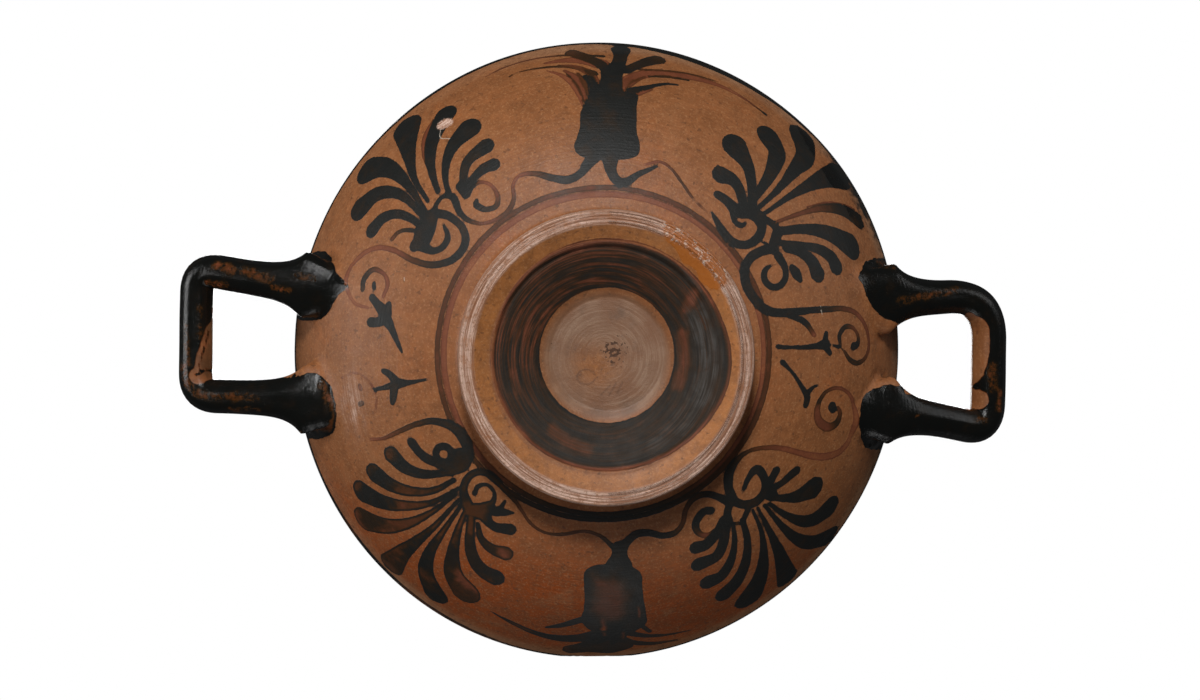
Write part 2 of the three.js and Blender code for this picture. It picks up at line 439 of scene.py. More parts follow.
def draw_upper_right_palmette():
    petal([(40, -44), (37, -46.6), (34.4, -48.2)], 1.4, root=1.6)
    petal([(42.5, -45.5), (41.6, -50.5), (39.4, -53.6), (35.9, -54.8)], 2.9, root=1.6)
    brush([(36, -56), (35.4, -57.8)], (1.2, 0.4), slip=0.8)
    petal([(45.6, -45), (46, -52), (45.6, -58.5), (42.4, -65.4)], 4.7, root=1.6, swell=3.2)
    petal([(46.6, -48), (52, -54.6), (56.2, -61), (58.2, -66), (56.6, -71.6)], 4.7, root=1.4, swell=1.5)
    petal([(46.3, -43.8), (54.5, -50.6), (64, -59.8), (71, -66.5), (73.8, -75.4)], 6.2, root=0.8)
    petal([(48.4, -42.4), (60, -49.8), (71, -55.8), (80, -59.8), (88.4, -62.6)], 5.8, root=0.7)
    petal([(52.6, -40.2), (62, -43.8), (72, -46.8), (83, -47.8), (92.6, -45.8)], 3.4, root=0.6,
          slip=(0.45, 0.45, 0.6, 0.95, 0.9))
    brush([(66, -46.6), (76, -49.4), (86, -50.2), (92, -49.6)], (0.3, 0.5, 0.5, 0.4), slip=0.35)
    petal([(53.5, -37.6), (64, -39), (74, -38.4), (84.4, -35.2)], 4.8, root=1.4)
    petal([(53, -34), (61, -33.6), (68.4, -32.8), (73.2, -30.6), (75.2, -27.6)], 2.9, root=1.0)
    petal([(56, -32.6), (61, -31.4), (65.2, -28.6), (66.9, -24.9)], 2.9, root=1.6)
    brush([(57.6, -26.4), (58.8, -24.8), (60, -22.9)], (1.2, 1.8, 1.1))
    # the left volute
    brush([(32, -43), (34.4, -38.6), (38, -34), (42.6, -33), (46.4, -35.2), (48, -38.4), (47.4, -41.6)],
          (0.4, 1.1, 1.4, 1.3, 1.5, 1.6, 2.4))
    brush([(37.6, -45.4), (40.4, -43.4), (44.4, -43.6), (46.6, -42)], (1.2, 2.2, 2.6, 2.2))
    brush([(38.6, -42.6), (39.4, -39.8), (41.4, -38.8), (42.8, -39.8)], (0.9, 0.9, 0.9, 0.4))
    # the link round a small reserved opening
    brush([(47.6, -41.6), (50.6, -40.6), (53, -38.4), (52.6, -35.6), (50.8, -32.6)],
          (1.6, 1.2, 1.5, 1.8, 1.2))
    brush([(47.8, -34.2), (49.6, -33.2), (51.2, -31.8)], 0.5)
    # the right volute and its tendril to the spiral by the handle
    brush(
        [(52, -32), (47.4, -31.2), (43.4, -28.8), (41.6, -24.8), (42.4, -20), (45.6, -15.6), (50.4, -12.9),
         (57, -12.9), (64, -13.6), (71, -14), (77.5, -14.2), (83.5, -12.6), (88, -8.6), (89.8, -3),
         (88, 1.2), (84, 3.2), (79.8, 2.2), (77, -0.6)],
        (1.4, 1.5, 1.5, 1.4, 1.4, 1.4, 1.4, 1.3, 1.1, 1.0, 0.9, 0.9, 0.9, 0.8, 0.8, 0.9, 0.9, 0.6),
        slip=(1, 1, 1, 1, 1, 1, 1, 1, 1, 0.8, 0.55, 0.4, 0.4, 0.4, 0.5, 0.75, 0.8, 0.6),
    )
    brush([(50.4, -27), (48.4, -25.6), (47.9, -22.9), (49.8, -20.6), (52.8, -20.7), (54.9, -23.2),
           (54.9, -26.6), (53, -29.8)], (0.4, 0.9, 1.1, 1.1, 1.1, 1.1, 1.2, 1.6))
    brush([(75.2, -2.4), (74.8, -5.8), (77.4, -8.4), (81, -8.2), (83.6, -5.6), (83.4, -2.9), (81.2, -2.2)],
          (0.6, 0.9, 0.9, 0.7, 0.8, 1.1, 1.4), slip=(0.7, 0.9, 0.8, 0.5, 0.6, 1, 1))
    brush([(71.6, -2.8), (74.4, -2.2)], (0.4, 0.7))
    # fillers
    brush([(55, -11.6), (59.6, -10.7), (62, -9.2), (64.6, -6)], (0.4, 1.1, 1.0, 0.8), slip=(1, 1, 0.9, 0.3))
    brush([(52, -2.6), (54.4, -2.3)], (0.8, 0.6))
    brush([(53, -2.5), (59, -2.3), (65, -2.6), (68.8, -3.2)], (0.6, 0.7, 1.0, 1.8))
    brush([(68.6, -3.4), (69.2, -6.4)], (1.3, 0.9))
    brush([(68.6, -3), (70.6, -0.4)], (1.4, 1.0))
    brush([(53.4, 2), (56.8, 5.2), (60.2, 9.6), (62.2, 12.8), (61.8, 15.4)], (0.9, 0.6, 0.8, 1.2, 1.0))
    brush([(62.4, 11.6), (64.4, 9.9), (66, 9.5)], (1.0, 0.6, 0.4))


def draw_lower_right_palmette():
    petal([(50.4, 40.6), (51.6, 37.6), (52.8, 35.2)], 1.4, root=1.4)
    petal([(51, 41.4), (55, 39.6), (58, 37.4), (60.2, 35.9)], 1.6, root=1.2)
    petal([(50.6, 43.6), (56, 44.6), (62, 44.8), (68.4, 43)], 4.1, root=1.0, swell=1.8)
    petal([(51.6, 46), (58, 50.6), (66, 54.6), (72.6, 55.2), (78.8, 52.6)], 4.6, root=0.8, swell=1.8)
    petal([(50, 46.4), (57, 54), (65, 61), (74, 65.8), (86, 67.6)], 4.6, root=0.7, swell=1.5)
    petal([(47.6, 47), (54, 57), (60, 66.6), (65, 75), (69.2, 81.6)], 4.6, root=0.6, swell=1.5)
    petal([(46, 47.5), (50.4, 56), (53, 65), (54.4, 75), (53.4, 86)], 5.8, root=0.6)
    petal([(42.8, 50.6), (45.6, 58), (46.6, 67), (45, 75), (41.6, 80)], 3.5, root=1.0, swell=1.6)
    petal([(39.8, 51.6), (41.2, 58), (40.9, 65.5), (38.6, 71), (34.4, 73)], 3.0, root=0.7, swell=1.5)
    petal([(37.4, 50), (37.4, 57), (35.8, 62.6), (30, 65.2)], 2.6, root=1.6)
    petal([(36.6, 50), (34.6, 54.6), (31.8, 58), (28.6, 58.8)], 2.3, root=1.5)
    # the upper volute and its tendril, a thin double line, to the spiral by the handle
    brush([(42.4, 40), (43.8, 36.6), (46.2, 34.2), (48.8, 37), (49.6, 41), (47.2, 44.6), (43, 45.4),
           (39.4, 44)], (0.8, 1.0, 1.5, 1.4, 1.5, 1.6, 1.5, 1.4))
    brush([(50, 41.4), (52.4, 43.4)], 2.0)
    brush(
        [(39.4, 44), (37.4, 39.5), (37.4, 35), (39.4, 31.4), (43, 28.6), (48, 27.7), (54, 28.2), (60, 30),
         (66, 31.8), (72.5, 32.6), (78.5, 31.6), (82.6, 27.6), (83.8, 22), (82.4, 16.6), (79, 12.4),
         (74, 10.6), (69.4, 11.6), (66.8, 14.4)],
        (1.6, 1.5, 1.5, 1.1, 0.7, 0.8, 0.9, 1.0, 1.2, 1.3, 1.3, 1.2, 1.1, 0.9, 0.7, 0.6, 0.7, 0.8),
        slip=(1, 1, 1, 0.9, 0.65, 0.5, 0.4, 0.35, 0.3, 0.3, 0.3, 0.3, 0.3, 0.3, 0.35, 0.4, 0.6, 0.8),
    )
    brush([(66.8, 14.6), (66.2, 18), (68, 21.4), (71.6, 23), (75, 21.8), (76, 19), (74.8, 17)],
          (0.9, 1.3, 1.6, 1.5, 1.3, 1.0, 0.7), slip=(0.6, 0.45, 0.45, 0.5, 0.8, 0.6, 0.5))
    brush([(72.2, 16.4), (72.8, 17.2)], 1.6)
    # the lower volute and its tendril to the lotus
    brush([(38.4, 44.4), (37.6, 47.6), (38.4, 51)], (1.3, 1.3, 1.5))
    brush([(44.6, 46.6), (43.2, 50.6)], (1.1, 1.0))
    brush([(38.8, 51.4), (42.6, 51.6)], 0.6, slip=0.7)
    brush(
        [(38, 44.4), (34.6, 42.4), (30.6, 41.2), (26.8, 42.4), (24.4, 46), (23.8, 50), (21.6, 53.2),
         (17.6, 54), (13.4, 52.9), (9.6, 53.4), (6.8, 56), (5.2, 59)],
        (1.4, 1.2, 1.1, 1.0, 0.8, 0.8, 1.0, 1.1, 1.2, 1.3, 1.5, 2.0),
        slip=(1, 1, 0.9, 0.8, 0.6, 0.6, 0.8, 1, 1, 1, 1, 1),
    )
    brush([(32.4, 46.6), (30, 46.8), (27.8, 50), (28.6, 53.4), (31.6, 54.8), (35.4, 53)],
          (1.3, 1.3, 1.3, 1.1, 0.9, 1.2), slip=(1, 1, 1, 0.8, 0.4, 0.9))


def draw_lower_left_palmette():
    petal([(-48, 32), (-52, 31.4), (-55.4, 29.4), (-58, 26.2)], 1.5, root=1.6)
    petal([(-45, 34.6), (-54, 36), (-60.6, 34.6), (-65.4, 30.8)], 2.9, root=1.1, swell=1.6)
    petal([(-44.8, 37.2), (-52, 41.2), (-60, 42.2), (-67, 41), (-73, 38)], 3.5, root=0.9, swell=1.6)
    petal([(-44.6, 40.6), (-53, 45.4), (-62, 47.6), (-71.5, 48), (-80.2, 46.2)], 4.3, root=0.8, swell=1.7)
    petal([(-44.6, 41.8), (-53, 48.6), (-62, 54), (-72, 57.4), (-82.6, 58)], 5.0, root=0.7, swell=1.8,
          slip=(1, 1, 0.95, 0.8))
    petal([(-43.6, 43.4), (-52, 53), (-60, 60.6), (-67.6, 67.8), (-74.8, 76)], 5.2, root=0.7,
          slip=(1, 1, 1, 0.8))
    petal([(-42.4, 44.4), (-49, 54), (-55.6, 64), (-59, 74), (-57.8, 84.8)], 5.0, root=0.7, swell=1.8)
    petal([(-41.2, 46), (-44.6, 54), (-47.4, 64), (-48, 72), (-45, 79.2)], 5.4, root=0.9, swell=1.8,
          slip=(1, 1, 0.9, 0.75))
    petal([(-40, 49), (-41, 58), (-40.2, 64), (-37.6, 68.2), (-33.8, 70.4)], 3.3, root=1.4, swell=1.5,
          slip=(1, 0.9, 1))
    petal([(-38, 51), (-37.2, 56), (-34, 59.4), (-29.8, 60.7)], 2.6, root=0.8, swell=1.3, slip=(1, 0.8))
    petal([(-36, 49), (-32.6, 51.6), (-28, 52.2)], 2.0, root=1.5)
    petal([(-35, 46), (-31, 46.6), (-27, 46.8)], 0.5, root=1.8)
    brush([(-31, 45.6), (-29.4, 43.2)], (0.9, 0.6))
    # the upper volute with a faded tendril
    brush(
        [(-73, 26.6), (-68, 25.8), (-62.4, 23.2), (-57, 20.8), (-51.4, 19.4), (-46.2, 20.2), (-42, 23.2),
         (-40.4, 27.6), (-41.6, 32), (-46, 34.8)],
        (0.5, 0.6, 0.8, 0.9, 1.1, 1.4, 1.6, 1.7, 2.0, 1.4),
        slip=(0.25, 0.4, 0.6, 0.7, 0.9, 1, 1, 1, 1, 1),
    )
    ring = [(-47.7 + 2.5 * math.cos(a), 29.3 + 2.5 * math.sin(a)) for a in np.linspace(0, 2 * math.pi, 9)]
    brush(ring, 1.2, steps=4)
    brush([(-49.6, 32.6), (-44.4, 32.4), (-42.6, 29)], (1.4, 2.2, 2.0))
    # the lower volute and a thin tendril to the lotus
    brush(
        [(-41, 45), (-42, 40.6), (-40.6, 36.4), (-37, 34.2), (-33.4, 35.4), (-30, 38.8), (-26.8, 42.4),
         (-24.4, 46), (-21.4, 50.4), (-17, 53), (-11.4, 53.2), (-6, 52.2), (-1, 53.8), (3, 57.6)],
        (2.0, 1.4, 1.2, 1.2, 1.1, 1.0, 0.8, 0.5, 0.5, 0.5, 0.6, 0.5, 0.6, 0.9),
        slip=(1, 1, 1, 1, 1, 0.9, 0.7, 0.5, 0.55, 0.6, 0.6, 0.5, 0.6, 0.9),
    )
    brush([(-38.6, 41), (-37.4, 38.8), (-34.6, 38.2), (-32.6, 40.6), (-33.2, 43.6), (-36.4, 46)],
          (0.9, 0.8, 0.6, 0.7, 1.0, 2.2))
    brush([(-40.6, 47), (-37.4, 46.8), (-35, 49)], (2.0, 2.8, 1.6))
    brush([(-45.4, 40.6), (-42.4, 39.4)], 0.6)


def draw_left_fillers():
    brush([(-71.6, -17.8), (-69.4, -15.6), (-66.4, -12.6)], (1.3, 1.5, 2.2))
    brush([(-65.2, -15.6), (-65.8, -12.6)], (1.0, 1.8))
    brush([(-71.8, -10.2), (-69, -10.2), (-66.8, -11.2)], (1.6, 1.6, 2.0))
    brush([(-66.4, -11.6), (-64, -8), (-61.8, -3.6), (-60, 0)], (2.2, 1.3, 0.8, 0.3))
    brush([(-52.6, 6.9), (-58, 7.9), (-62.4, 8.4)], (0.4, 0.8, 1.8))
    brush([(-62.6, 8.4), (-66, 9.6), (-70.2, 10.6)], (1.4, 0.9, 0.6))
    brush([(-62.4, 8), (-65, 5.6), (-67, 4.8)], (1.5, 1.2, 0.9))
    brush([(-63, 9), (-63.6, 12), (-64, 14.2)], (1.4, 1.3, 1.0))
    brush([(-84, 7.6), (-78, 5.7), (-72.6, 8), (-69.8, 12.6), (-70.4, 17.4)], 0.4, slip=0.3)
    brush([(-76.2, 9.8), (-75.8, 10.6)], 0.9, slip=0.45)
    brush([(-76.6, 15.6), (-75.4, 15.2)], 0.9, slip=0.7)


def draw_upper_lotus():
    area([(-1.5, -58.4), (-5.2, -59), (-8, -60.8), (-8.8, -63.4), (-7.8, -66.6), (-6.9, -70.5),
          (-6.7, -75.5), (-5.4, -79), (-3.7, -84), (-4.1, -88.4), (-5.8, -92.6), (-3.2, -92.4),
          (-0.4, -87.6), (0.4, -90.8), (0.6, -96), (4, -97), (7.6, -95), (7.2, -90), (7.2, -84.8),
          (9.6, -85), (12, -82.6), (11.3, -78.5), (10.9, -74), (10.6, -68), (11.3, -63.6), (10.4, -60.2),
          (7, -58.8), (2.4, -58.6)])
    brush([(3.5, -88), (4, -92), (5.6, -96), (7.4, -101), (8.4, -106), (8.8, -109.6)],
          (3.6, 3.5, 3.2, 2.5, 2.8, 3.8))
    brush([(3, -94), (0.6, -99), (-4, -103.6), (-9.4, -107.6)], (2.0, 2.0, 2.3, 2.6),
          slip=(1, 0.9, 0.8, 0.72))
    brush([(9, -95.6), (13.4, -98.8), (17.6, -101.8), (22, -104)], (2.0, 2.0, 2.5, 2.9),
          slip=(1, 0.9, 0.9, 0.8))
    brush([(11.4, -95.6), (16, -98.8), (21, -101)], (0.4, 0.7, 0.4), slip=0.42)
    # fans of thin slip where the sepals spring
    brush([(-5.6, -77), (-7, -83), (-9.4, -89), (-13, -93.4), (-18, -96.6)], (0.3, 0.9, 1.2, 0.9, 0.3),
          slip=0.3)
    brush([(-4.8, -79), (-6.2, -86), (-8.2, -91.6), (-12, -96)], (0.5, 1.2, 1.3, 0.6), slip=0.42)
    brush([(-4, -83), (-5.2, -89), (-7.4, -94)], (0.6, 1.0, 0.5), slip=0.6)
    brush([(-5.4, -80), (-7.8, -88), (-11, -93.6)], (0.3, 0.35, 0.3), slip=0.66)
    brush([(-0.6, -88), (-3, -93.4), (-8, -97.6), (-14, -99.4)], (0.8, 1.5, 1.2, 0.4), slip=0.46)
    brush([(-1.6, -90), (-4.6, -95.4)], (0.6, 0.5), slip=0.8)
    brush([(7.4, -85), (9, -90), (13, -93.2), (19, -95)], (0.9, 1.9, 1.6, 1.0), slip=0.36)
    brush([(8, -85.4), (11, -89.6), (15.4, -92.4)], (0.4, 0.5, 0.3), slip=0.62)
    brush([(10.4, -81), (12.6, -85), (18, -87.4)], (0.8, 1.1, 0.3), slip=0.32)
    # tendrils like a pair of legs
    brush([(-3, -59.5), (-5.6, -56)], (2.2, 1.5))
    brush([(2, -59.5), (2.2, -55), (4, -51.8), (6.8, -51.6), (10.4, -54), (16, -56.6)],
          (2.6, 1.7, 1.5, 1.4, 1.0, 0.5))
    brush([(12, -57), (17, -58.2), (20.4, -56), (23.6, -51.4), (26.8, -46.6), (31, -42.4)],
          (0.4, 0.5, 0.5, 0.5, 0.4, 0.3), slip=(0.3, 0.35, 0.5, 0.6, 0.45, 0.4))
    # long thin sepals
    brush([(9, -88.6), (14, -93.2), (22, -95.2), (32, -95), (42, -93.2), (50, -89.6), (56, -84.8),
           (58.8, -82.4)], (2.0, 2.3, 1.8, 1.7, 1.2, 0.8, 0.5, 0.8),
          slip=(0.5, 0.4, 0.4, 0.4, 0.35, 0.35, 0.5, 0.95))
    brush([(14, -96.4), (24, -97), (34, -96.8), (43, -95)], (0.5, 0.5, 0.5, 0.3), slip=0.6)
    brush([(17, -92.8), (24, -93.4), (31, -92.8)], (0.4, 0.7, 0.4), slip=0.75)
    brush([(10, -85), (16, -87.4), (22, -89.4), (26.6, -89.6)], (1.6, 0.9, 0.7, 0.4))
    brush([(12.4, -84), (17, -86)], (1.2, 0.4), slip=0.4)
    brush([(1, -99), (-6, -102), (-13, -102.4), (-19, -101.6)], (3.0, 2.4, 1.4, 0.6), slip=0.38)
    brush([(2, -104.4), (-7, -105.6), (-17, -106.2), (-27, -105.2), (-35, -102.6), (-41, -99)],
          (0.8, 0.7, 0.6, 0.5, 0.5, 0.3), slip=(0.8, 0.7, 0.55, 0.45, 0.5, 0.4))
    brush([(-2, -93.6), (-7, -96.8), (-15, -98.7), (-24, -98.6), (-29.6, -97.4), (-31.4, -96)],
          (1.6, 0.8, 0.7, 0.5, 0.4, 0.5), slip=(0.8, 0.6, 0.7, 0.6, 0.5, 0.6))


def draw_lower_lotus():
    brush([(4.8, 57.4), (4.9, 61), (4.8, 65)], (2.2, 2.6, 4.5))
    area([(0, 63.4), (-3.6, 64.2), (-5.6, 66.4), (-5.7, 71), (-5.4, 77), (-5.6, 82), (-6.4, 87), (-4, 92),
          (0, 95), (3.4, 99), (5, 103), (8, 99), (11, 95.4), (14, 92.6), (15.8, 89), (14.8, 84), (13.6, 78),
          (12.6, 72), (12, 67.4), (9.4, 64.8), (6, 63.4)], slip=0.98)
    TINTS.append(([(2.4, 74.0), (3.2, 82.5)], 5.4, -0.44))
    TINTS.append(([(-3, 67.4), (-1, 70.4)], 1.6, -0.22))
    for x, y in ((1.2, 90), (1.6, 94), (8.4, 96.5), (12.6, 84)):
        TINTS.append(([(x - 0.3, y - 2.4), (x + 0.3, y + 2.4)], 0.5, -0.5))
    area([(-3, 96.6), (-6, 101), (-10, 104.6), (-13, 108), (-10, 110.8), (-3, 109.4), (4, 110.6), (9, 109),
          (13, 105), (9, 101), (5, 98)], slip=0.86)
    brush([(-5, 86.4), (-9.4, 88.8), (-13.6, 90.8), (-18, 92.3)], (1.6, 1.5, 1.2, 0.7))
    brush([(0, 95), (-6.4, 98), (-14, 98.8), (-22, 96.6), (-30, 91.8), (-37, 87)],
          (2.8, 2.7, 2.2, 1.5, 1.0, 0.3))
    brush([(1.6, 99), (-4.6, 102.8), (-10.6, 106.4)], (1.6, 1.8, 2.2), slip=(1, 0.95, 0.8))
    brush([(6, 90), (9.6, 94.6), (16, 97.8), (24, 99), (33, 98.6)], (2.2, 1.7, 1.3, 0.9, 0.4),
          slip=(1, 1, 0.9, 0.8, 0.6))
    brush([(6, 97), (12, 102), (20, 104.6), (29, 104.8)], (1.8, 1.7, 1.4, 0.8), slip=(1, 0.9, 0.8, 0.6))
    brush([(12.6, 82), (13.8, 90), (17.6, 95.4)], (0.9, 1.0, 0.8), slip=0.8)


def draw_ring_round_foot():
    """A dark line round the foot with a red one inside it, a little off centre like the foot itself.
    Both turn full black towards +Y, under the foot's shadow: painted shade.
    """
    around = np.linspace(0, 2 * math.pi, 49)
    for radius, half, slip in ((49.2, 0.85, 0.56), (47.4, 0.9, 0.27)):
        waver = 0.25 * noise(np.stack([np.cos(around), np.sin(around)], -1), int(radius))
        # painted shade: the slip goes to full black towards +Y, where the foot's shadow falls
        slip = slip + (0.95 - slip) * bell(around, 1.6, 0.75)
        ring = [((radius + w) * math.cos(a), (radius + w) * math.sin(a) - 0.5)
                for a, w in zip(around, waver)]
        brush(ring, half, slip=slip, steps=6)


def signed_edge(points):
    """How far each point of the flat drawing lies inside the nearest stroke, in millimetres (negative
    outside), and the strength of slip there."""
    reach = 3.0
    edge = np.full(len(points), -reach)
    rank = np.full(len(points), -reach)
    strength = np.zeros(len(points))
    for line in STROKES:
        margin = line[:, 2].max() + reach
        low = line[:, :2].min(0) - margin
        high = line[:, :2].max(0) + margin
        near = np.nonzero(((points > low) & (points < high)).all(1))[0]
        if len(near) == 0:
            continue
        start, end = line[:-1], line[1:]
        run = end[:, :2] - start[:, :2]
        size = np.maximum((run**2).sum(1), 1e-9)
        offset = points[near][:, None] - start[None, :, :2]
        share = np.clip((offset * run).sum(2) / size, 0, 1)
        gap = np.linalg.norm(offset - share[..., None] * run, axis=2)
        here = start[:, 2:] + share[..., None] * (end - start)[:, 2:]
        inside = here[..., 0] - gap
        best = inside.argmax(1)
        rows = np.arange(len(near))
        inside, slip = inside[rows, best], here[rows, best, 1]
        score = np.where(inside > -0.05, 10 + slip, inside)
        edge[near] = np.maximum(edge[near], inside)
        better = score > rank[near]
        rank[near] = np.maximum(rank[near], score)
        strength[near] = np.where(better, slip, strength[near])
    for outline, slip in AREAS:
        inside = inside_outline(points, outline, reach)
        score = np.where(inside > -0.05, 10 + slip, inside)
        strength = np.where(score > rank, slip, strength)
        edge = np.maximum(edge, inside)
        rank = np.maximum(rank, score)
    for line, half, change in TINTS:
        strength = strength + change * (1 - smoothstep(line_gap(points, line), 0.3 * half, 1.5 * half))
    return edge, strength


# ---------------------------------------------------------------- mesh of the turned body

def foot_section():
    """Half section from the axis, under the foot, over its resting ring and up its side to the bowl."""
    rest = bezier([(RING_INNER, 0), (RING_OUTER, 0)], 16)
    share = np.linspace(0, 1, len(rest))
    for low, high in RING_GROOVES:
        rest[(low < share) & (share < high), 1] = GROOVE_DEPTH
    return joined(
        bezier([(0, RECESS_HEIGHT + 0.3), (DISC_RADIUS - 3, RECESS_HEIGHT)], 40),
        bezier([(DISC_RADIUS - 3, RECESS_HEIGHT), (DISC_RADIUS - 2.6, RECESS_HEIGHT - 0.3)], 1),
        bezier([(DISC_RADIUS - 2.6, RECESS_HEIGHT - 0.3), (DISC_RADIUS, RECESS_HEIGHT - 1.3)], 3),
        bezier([(DISC_RADIUS, RECESS_HEIGHT - 1.3), (26, 6.2), (31.6, 4.1)], 22),
        bezier([(31.6, 4.1), (32.4, 4.4), (32.9, 3.1)], 4),
        bezier([(32.9, 3.1), (33.4, 2.3), (33.9, 2.5)], 3),
        bezier([(33.9, 2.5), (36.4, 1.5), (RING_INNER, 0)], 8),
        rest,
        bezier([(RING_OUTER, 0), (FOOT_RADIUS, 0.6), (FOOT_RADIUS, 4)], 8),
        bezier([(FOOT_RADIUS, 4), (FOOT_RADIUS, 8.5), (FOOT_RADIUS - 1.4, FOOT_HEIGHT)], 7),
        bezier([(FOOT_RADIUS - 1.4, FOOT_HEIGHT), (FOOT_RADIUS - 1.2, 14.6), FOOT_JOIN], 6),
    )


def inner_section():
    """Half section from the outer edge of the lip over it and down the inside to the axis."""
    lip = LIP_THICKNESS / 2
    turn = np.linspace(0, math.pi, 9)
    edge = np.stack([LIP_RADIUS - lip + lip * np.cos(turn), HEIGHT - lip + lip * np.sin(turn)], -1)
    inside = bezier([(LIP_RADIUS - 2 * lip, HEIGHT - lip), (LIP_RADIUS - 11, 39), (60, FLOOR_HEIGHT),
                     (0, FLOOR_HEIGHT)], 46)
    return joined(edge, inside)


def recess_shift(points):
    """The disc inside the foot was turned a little off centre."""
    r = np.hypot(points[:, 0], points[:, 1])
    under = (points[:, 2] < 13) * (1 - smoothstep(r, 21, 33))
    points[:, 0] += 0.9 * under
    points[:, 1] -= 0.8 * under
    return points


def turned_rings(section):
    """The rings of a half section, each an array of points; a ring on the axis is a single point."""
    rings = []
    for r, z in section:
        count = 1 if r < 1e-6 else TURN_STEPS
        theta = np.arange(count) * 2 * math.pi / count
        rings.append(spun(np.full(count, r), np.full(count, z), theta))
    return rings


def ring_faces(last, here):
    """Faces between two rings, each given as its first index and its number of points."""
    (a, a_count), (b, b_count) = last, here
    n = max(a_count, b_count)
    faces = []
    for k in range(n):
        m = (k + 1) % n
        if a_count == 1:
            faces.append((b + m, b + k, a))
        elif b_count == 1:
            faces.append((b, a + k, a + m))
        else:
            faces.append((a + m, b + m, b + k, a + k))
    return faces


def stacked(rings, first, last=None):
    """Faces of rings one after the other, whose points start at index first, going on from an earlier
    ring if one is given. Also gives the last ring and the next free index."""
    faces = []
    for ring in rings:
        here = (first, len(ring))
        if last is not None:
            faces += ring_faces(last, here)
        last = here
        first += len(ring)
    return faces, last, first


def stepped(line):
    """A line's columns at even steps along it, and its direction there."""
    along = lengths_along(line[:, :2])
    at = np.linspace(0, along[-1], max(2, int(along[-1] / 0.75)))
    columns = np.stack([np.interp(at, along, column) for column in line.T], -1)
    way = np.gradient(columns[:, :2], axis=0)
    return columns, way / (np.linalg.norm(way, axis=1, keepdims=True) + 1e-9)


def spaced_out(candidates, cells):
    """Keeps points in order, leaving out each that is closer than its own gap to one already kept.
    cells holds the points kept so far by their 2 mm square."""
    kept = []
    for x, y, gap in candidates:
        i, j = int(x // 2), int(y // 2)
        near = (q for a in (i - 1, i, i + 1) for b in (j - 1, j, j + 1) for q in cells.get((a, b), ()))
        if all((x - u) ** 2 + (y - v) ** 2 >= gap**2 for u, v in near):
            cells.setdefault((i, j), []).append((x, y))
            kept.append((x, y))
    return kept


def drawing_points():
    """Points of the flat drawing: along both edges of each stroke and its middle, then a plain fill."""
    wanted = []
    beside = ((0.0, EDGE_GAP), (0.45, SIDE_GAP), (-0.5, SIDE_GAP))

    def want(places, gap):
        wanted.extend((x, y, gap) for x, y in places)

    hairs = [np.column_stack([np.array(line), np.full(len(line), 0.14)]) for line in SCRAPES]
    for line in STROKES + hairs:
        columns, way = stepped(line[:, :3])
        middle, half = columns[:, :2], columns[:, 2:]
        across = way[:, ::-1] * (-1, 1)
        for side in (-1, 1):
            for beyond, gap in beside:
                want(middle + side * np.maximum(half + beyond, 0) * across, gap)
        want(middle, SIDE_GAP)
        for end, sign in ((0, -1), (-1, 1)):
            for turn in np.linspace(-1.3, 1.3, 5):
                c, s = math.cos(turn), math.sin(turn)
                tip = sign * way[end] @ np.array([[c, s], [-s, c]])
                want([middle[end] + half[end] * tip], EDGE_GAP)
    for outline in [shape for shape, _ in AREAS] + ROOTS + [CHIP]:
        columns, way = stepped(outline)
        across = way[:, ::-1] * (-1, 1)
        for beyond, gap in (*beside, (1.2, 0.6), (-1.3, 0.6)):
            want(columns + beyond * across, gap)

    rng = np.random.default_rng(3)
    for rho in np.arange(RHO_FOOT + 0.9, RHO_LIP - 0.4, 1.35):
        count = int(2 * math.pi * rho / 1.4)
        theta = (np.arange(count) + rng.uniform()) * 2 * math.pi / count
        want([(rho * math.cos(a), rho * math.sin(a)) for a in theta], 0.95)
    edge_rings = [
        (rho * math.cos(a), rho * math.sin(a), 0)
        for rho in (RHO_FOOT, RHO_LIP)
        for a in np.arange(TURN_STEPS) * 2 * math.pi / TURN_STEPS
    ]
    cells = {}
    spaced_out(edge_rings, cells)
    inside = [p for p in wanted if RHO_FOOT + 0.35 < math.hypot(p[0], p[1]) < RHO_LIP - 0.35]
    return [p[:2] for p in edge_rings], spaced_out(inside, cells)


def painted_wall():
    """The outside of the bowl as triangles that follow the strokes' edges. The first points are the two
    edge rings, foot then lip."""
    rings, inside = drawing_points()
    points = [Vector(p) for p in rings + inside]
    n = TURN_STEPS
    loops = [(k, (k + 1) % n) for k in range(n)] + [(n + k, n + (k + 1) % n) for k in range(n)]
    made = delaunay_2d_cdt(points, loops, [], 0, 1e-7)
    flat = np.array([tuple(p) for p in made[0]])
    if len(flat) != len(points):
        raise RuntimeError("the flat drawing's points did not stay one to one")
    faces = [tuple(reversed(f)) for f in made[2] if np.hypot(*flat[list(f)].mean(0)) > RHO_FOOT - 0.02]
    return flat, faces


def cup_mesh():
    """Points and faces of the whole turned body, facing out."""
    flat, wall_faces = painted_wall()
    foot = turned_rings(foot_section()[:-1])
    inner = turned_rings(inner_section()[1:])
    foot_faces, foot_edge, count = stacked(foot, len(flat))
    foot_faces += ring_faces(foot_edge, (0, TURN_STEPS))
    inner_faces = stacked(inner, count, (TURN_STEPS, TURN_STEPS))[0]
    points = np.concatenate([on_wall(flat), *foot, *inner])
    return recess_shift(points), wall_faces + foot_faces + inner_faces


# ---------------------------------------------------------------- handles

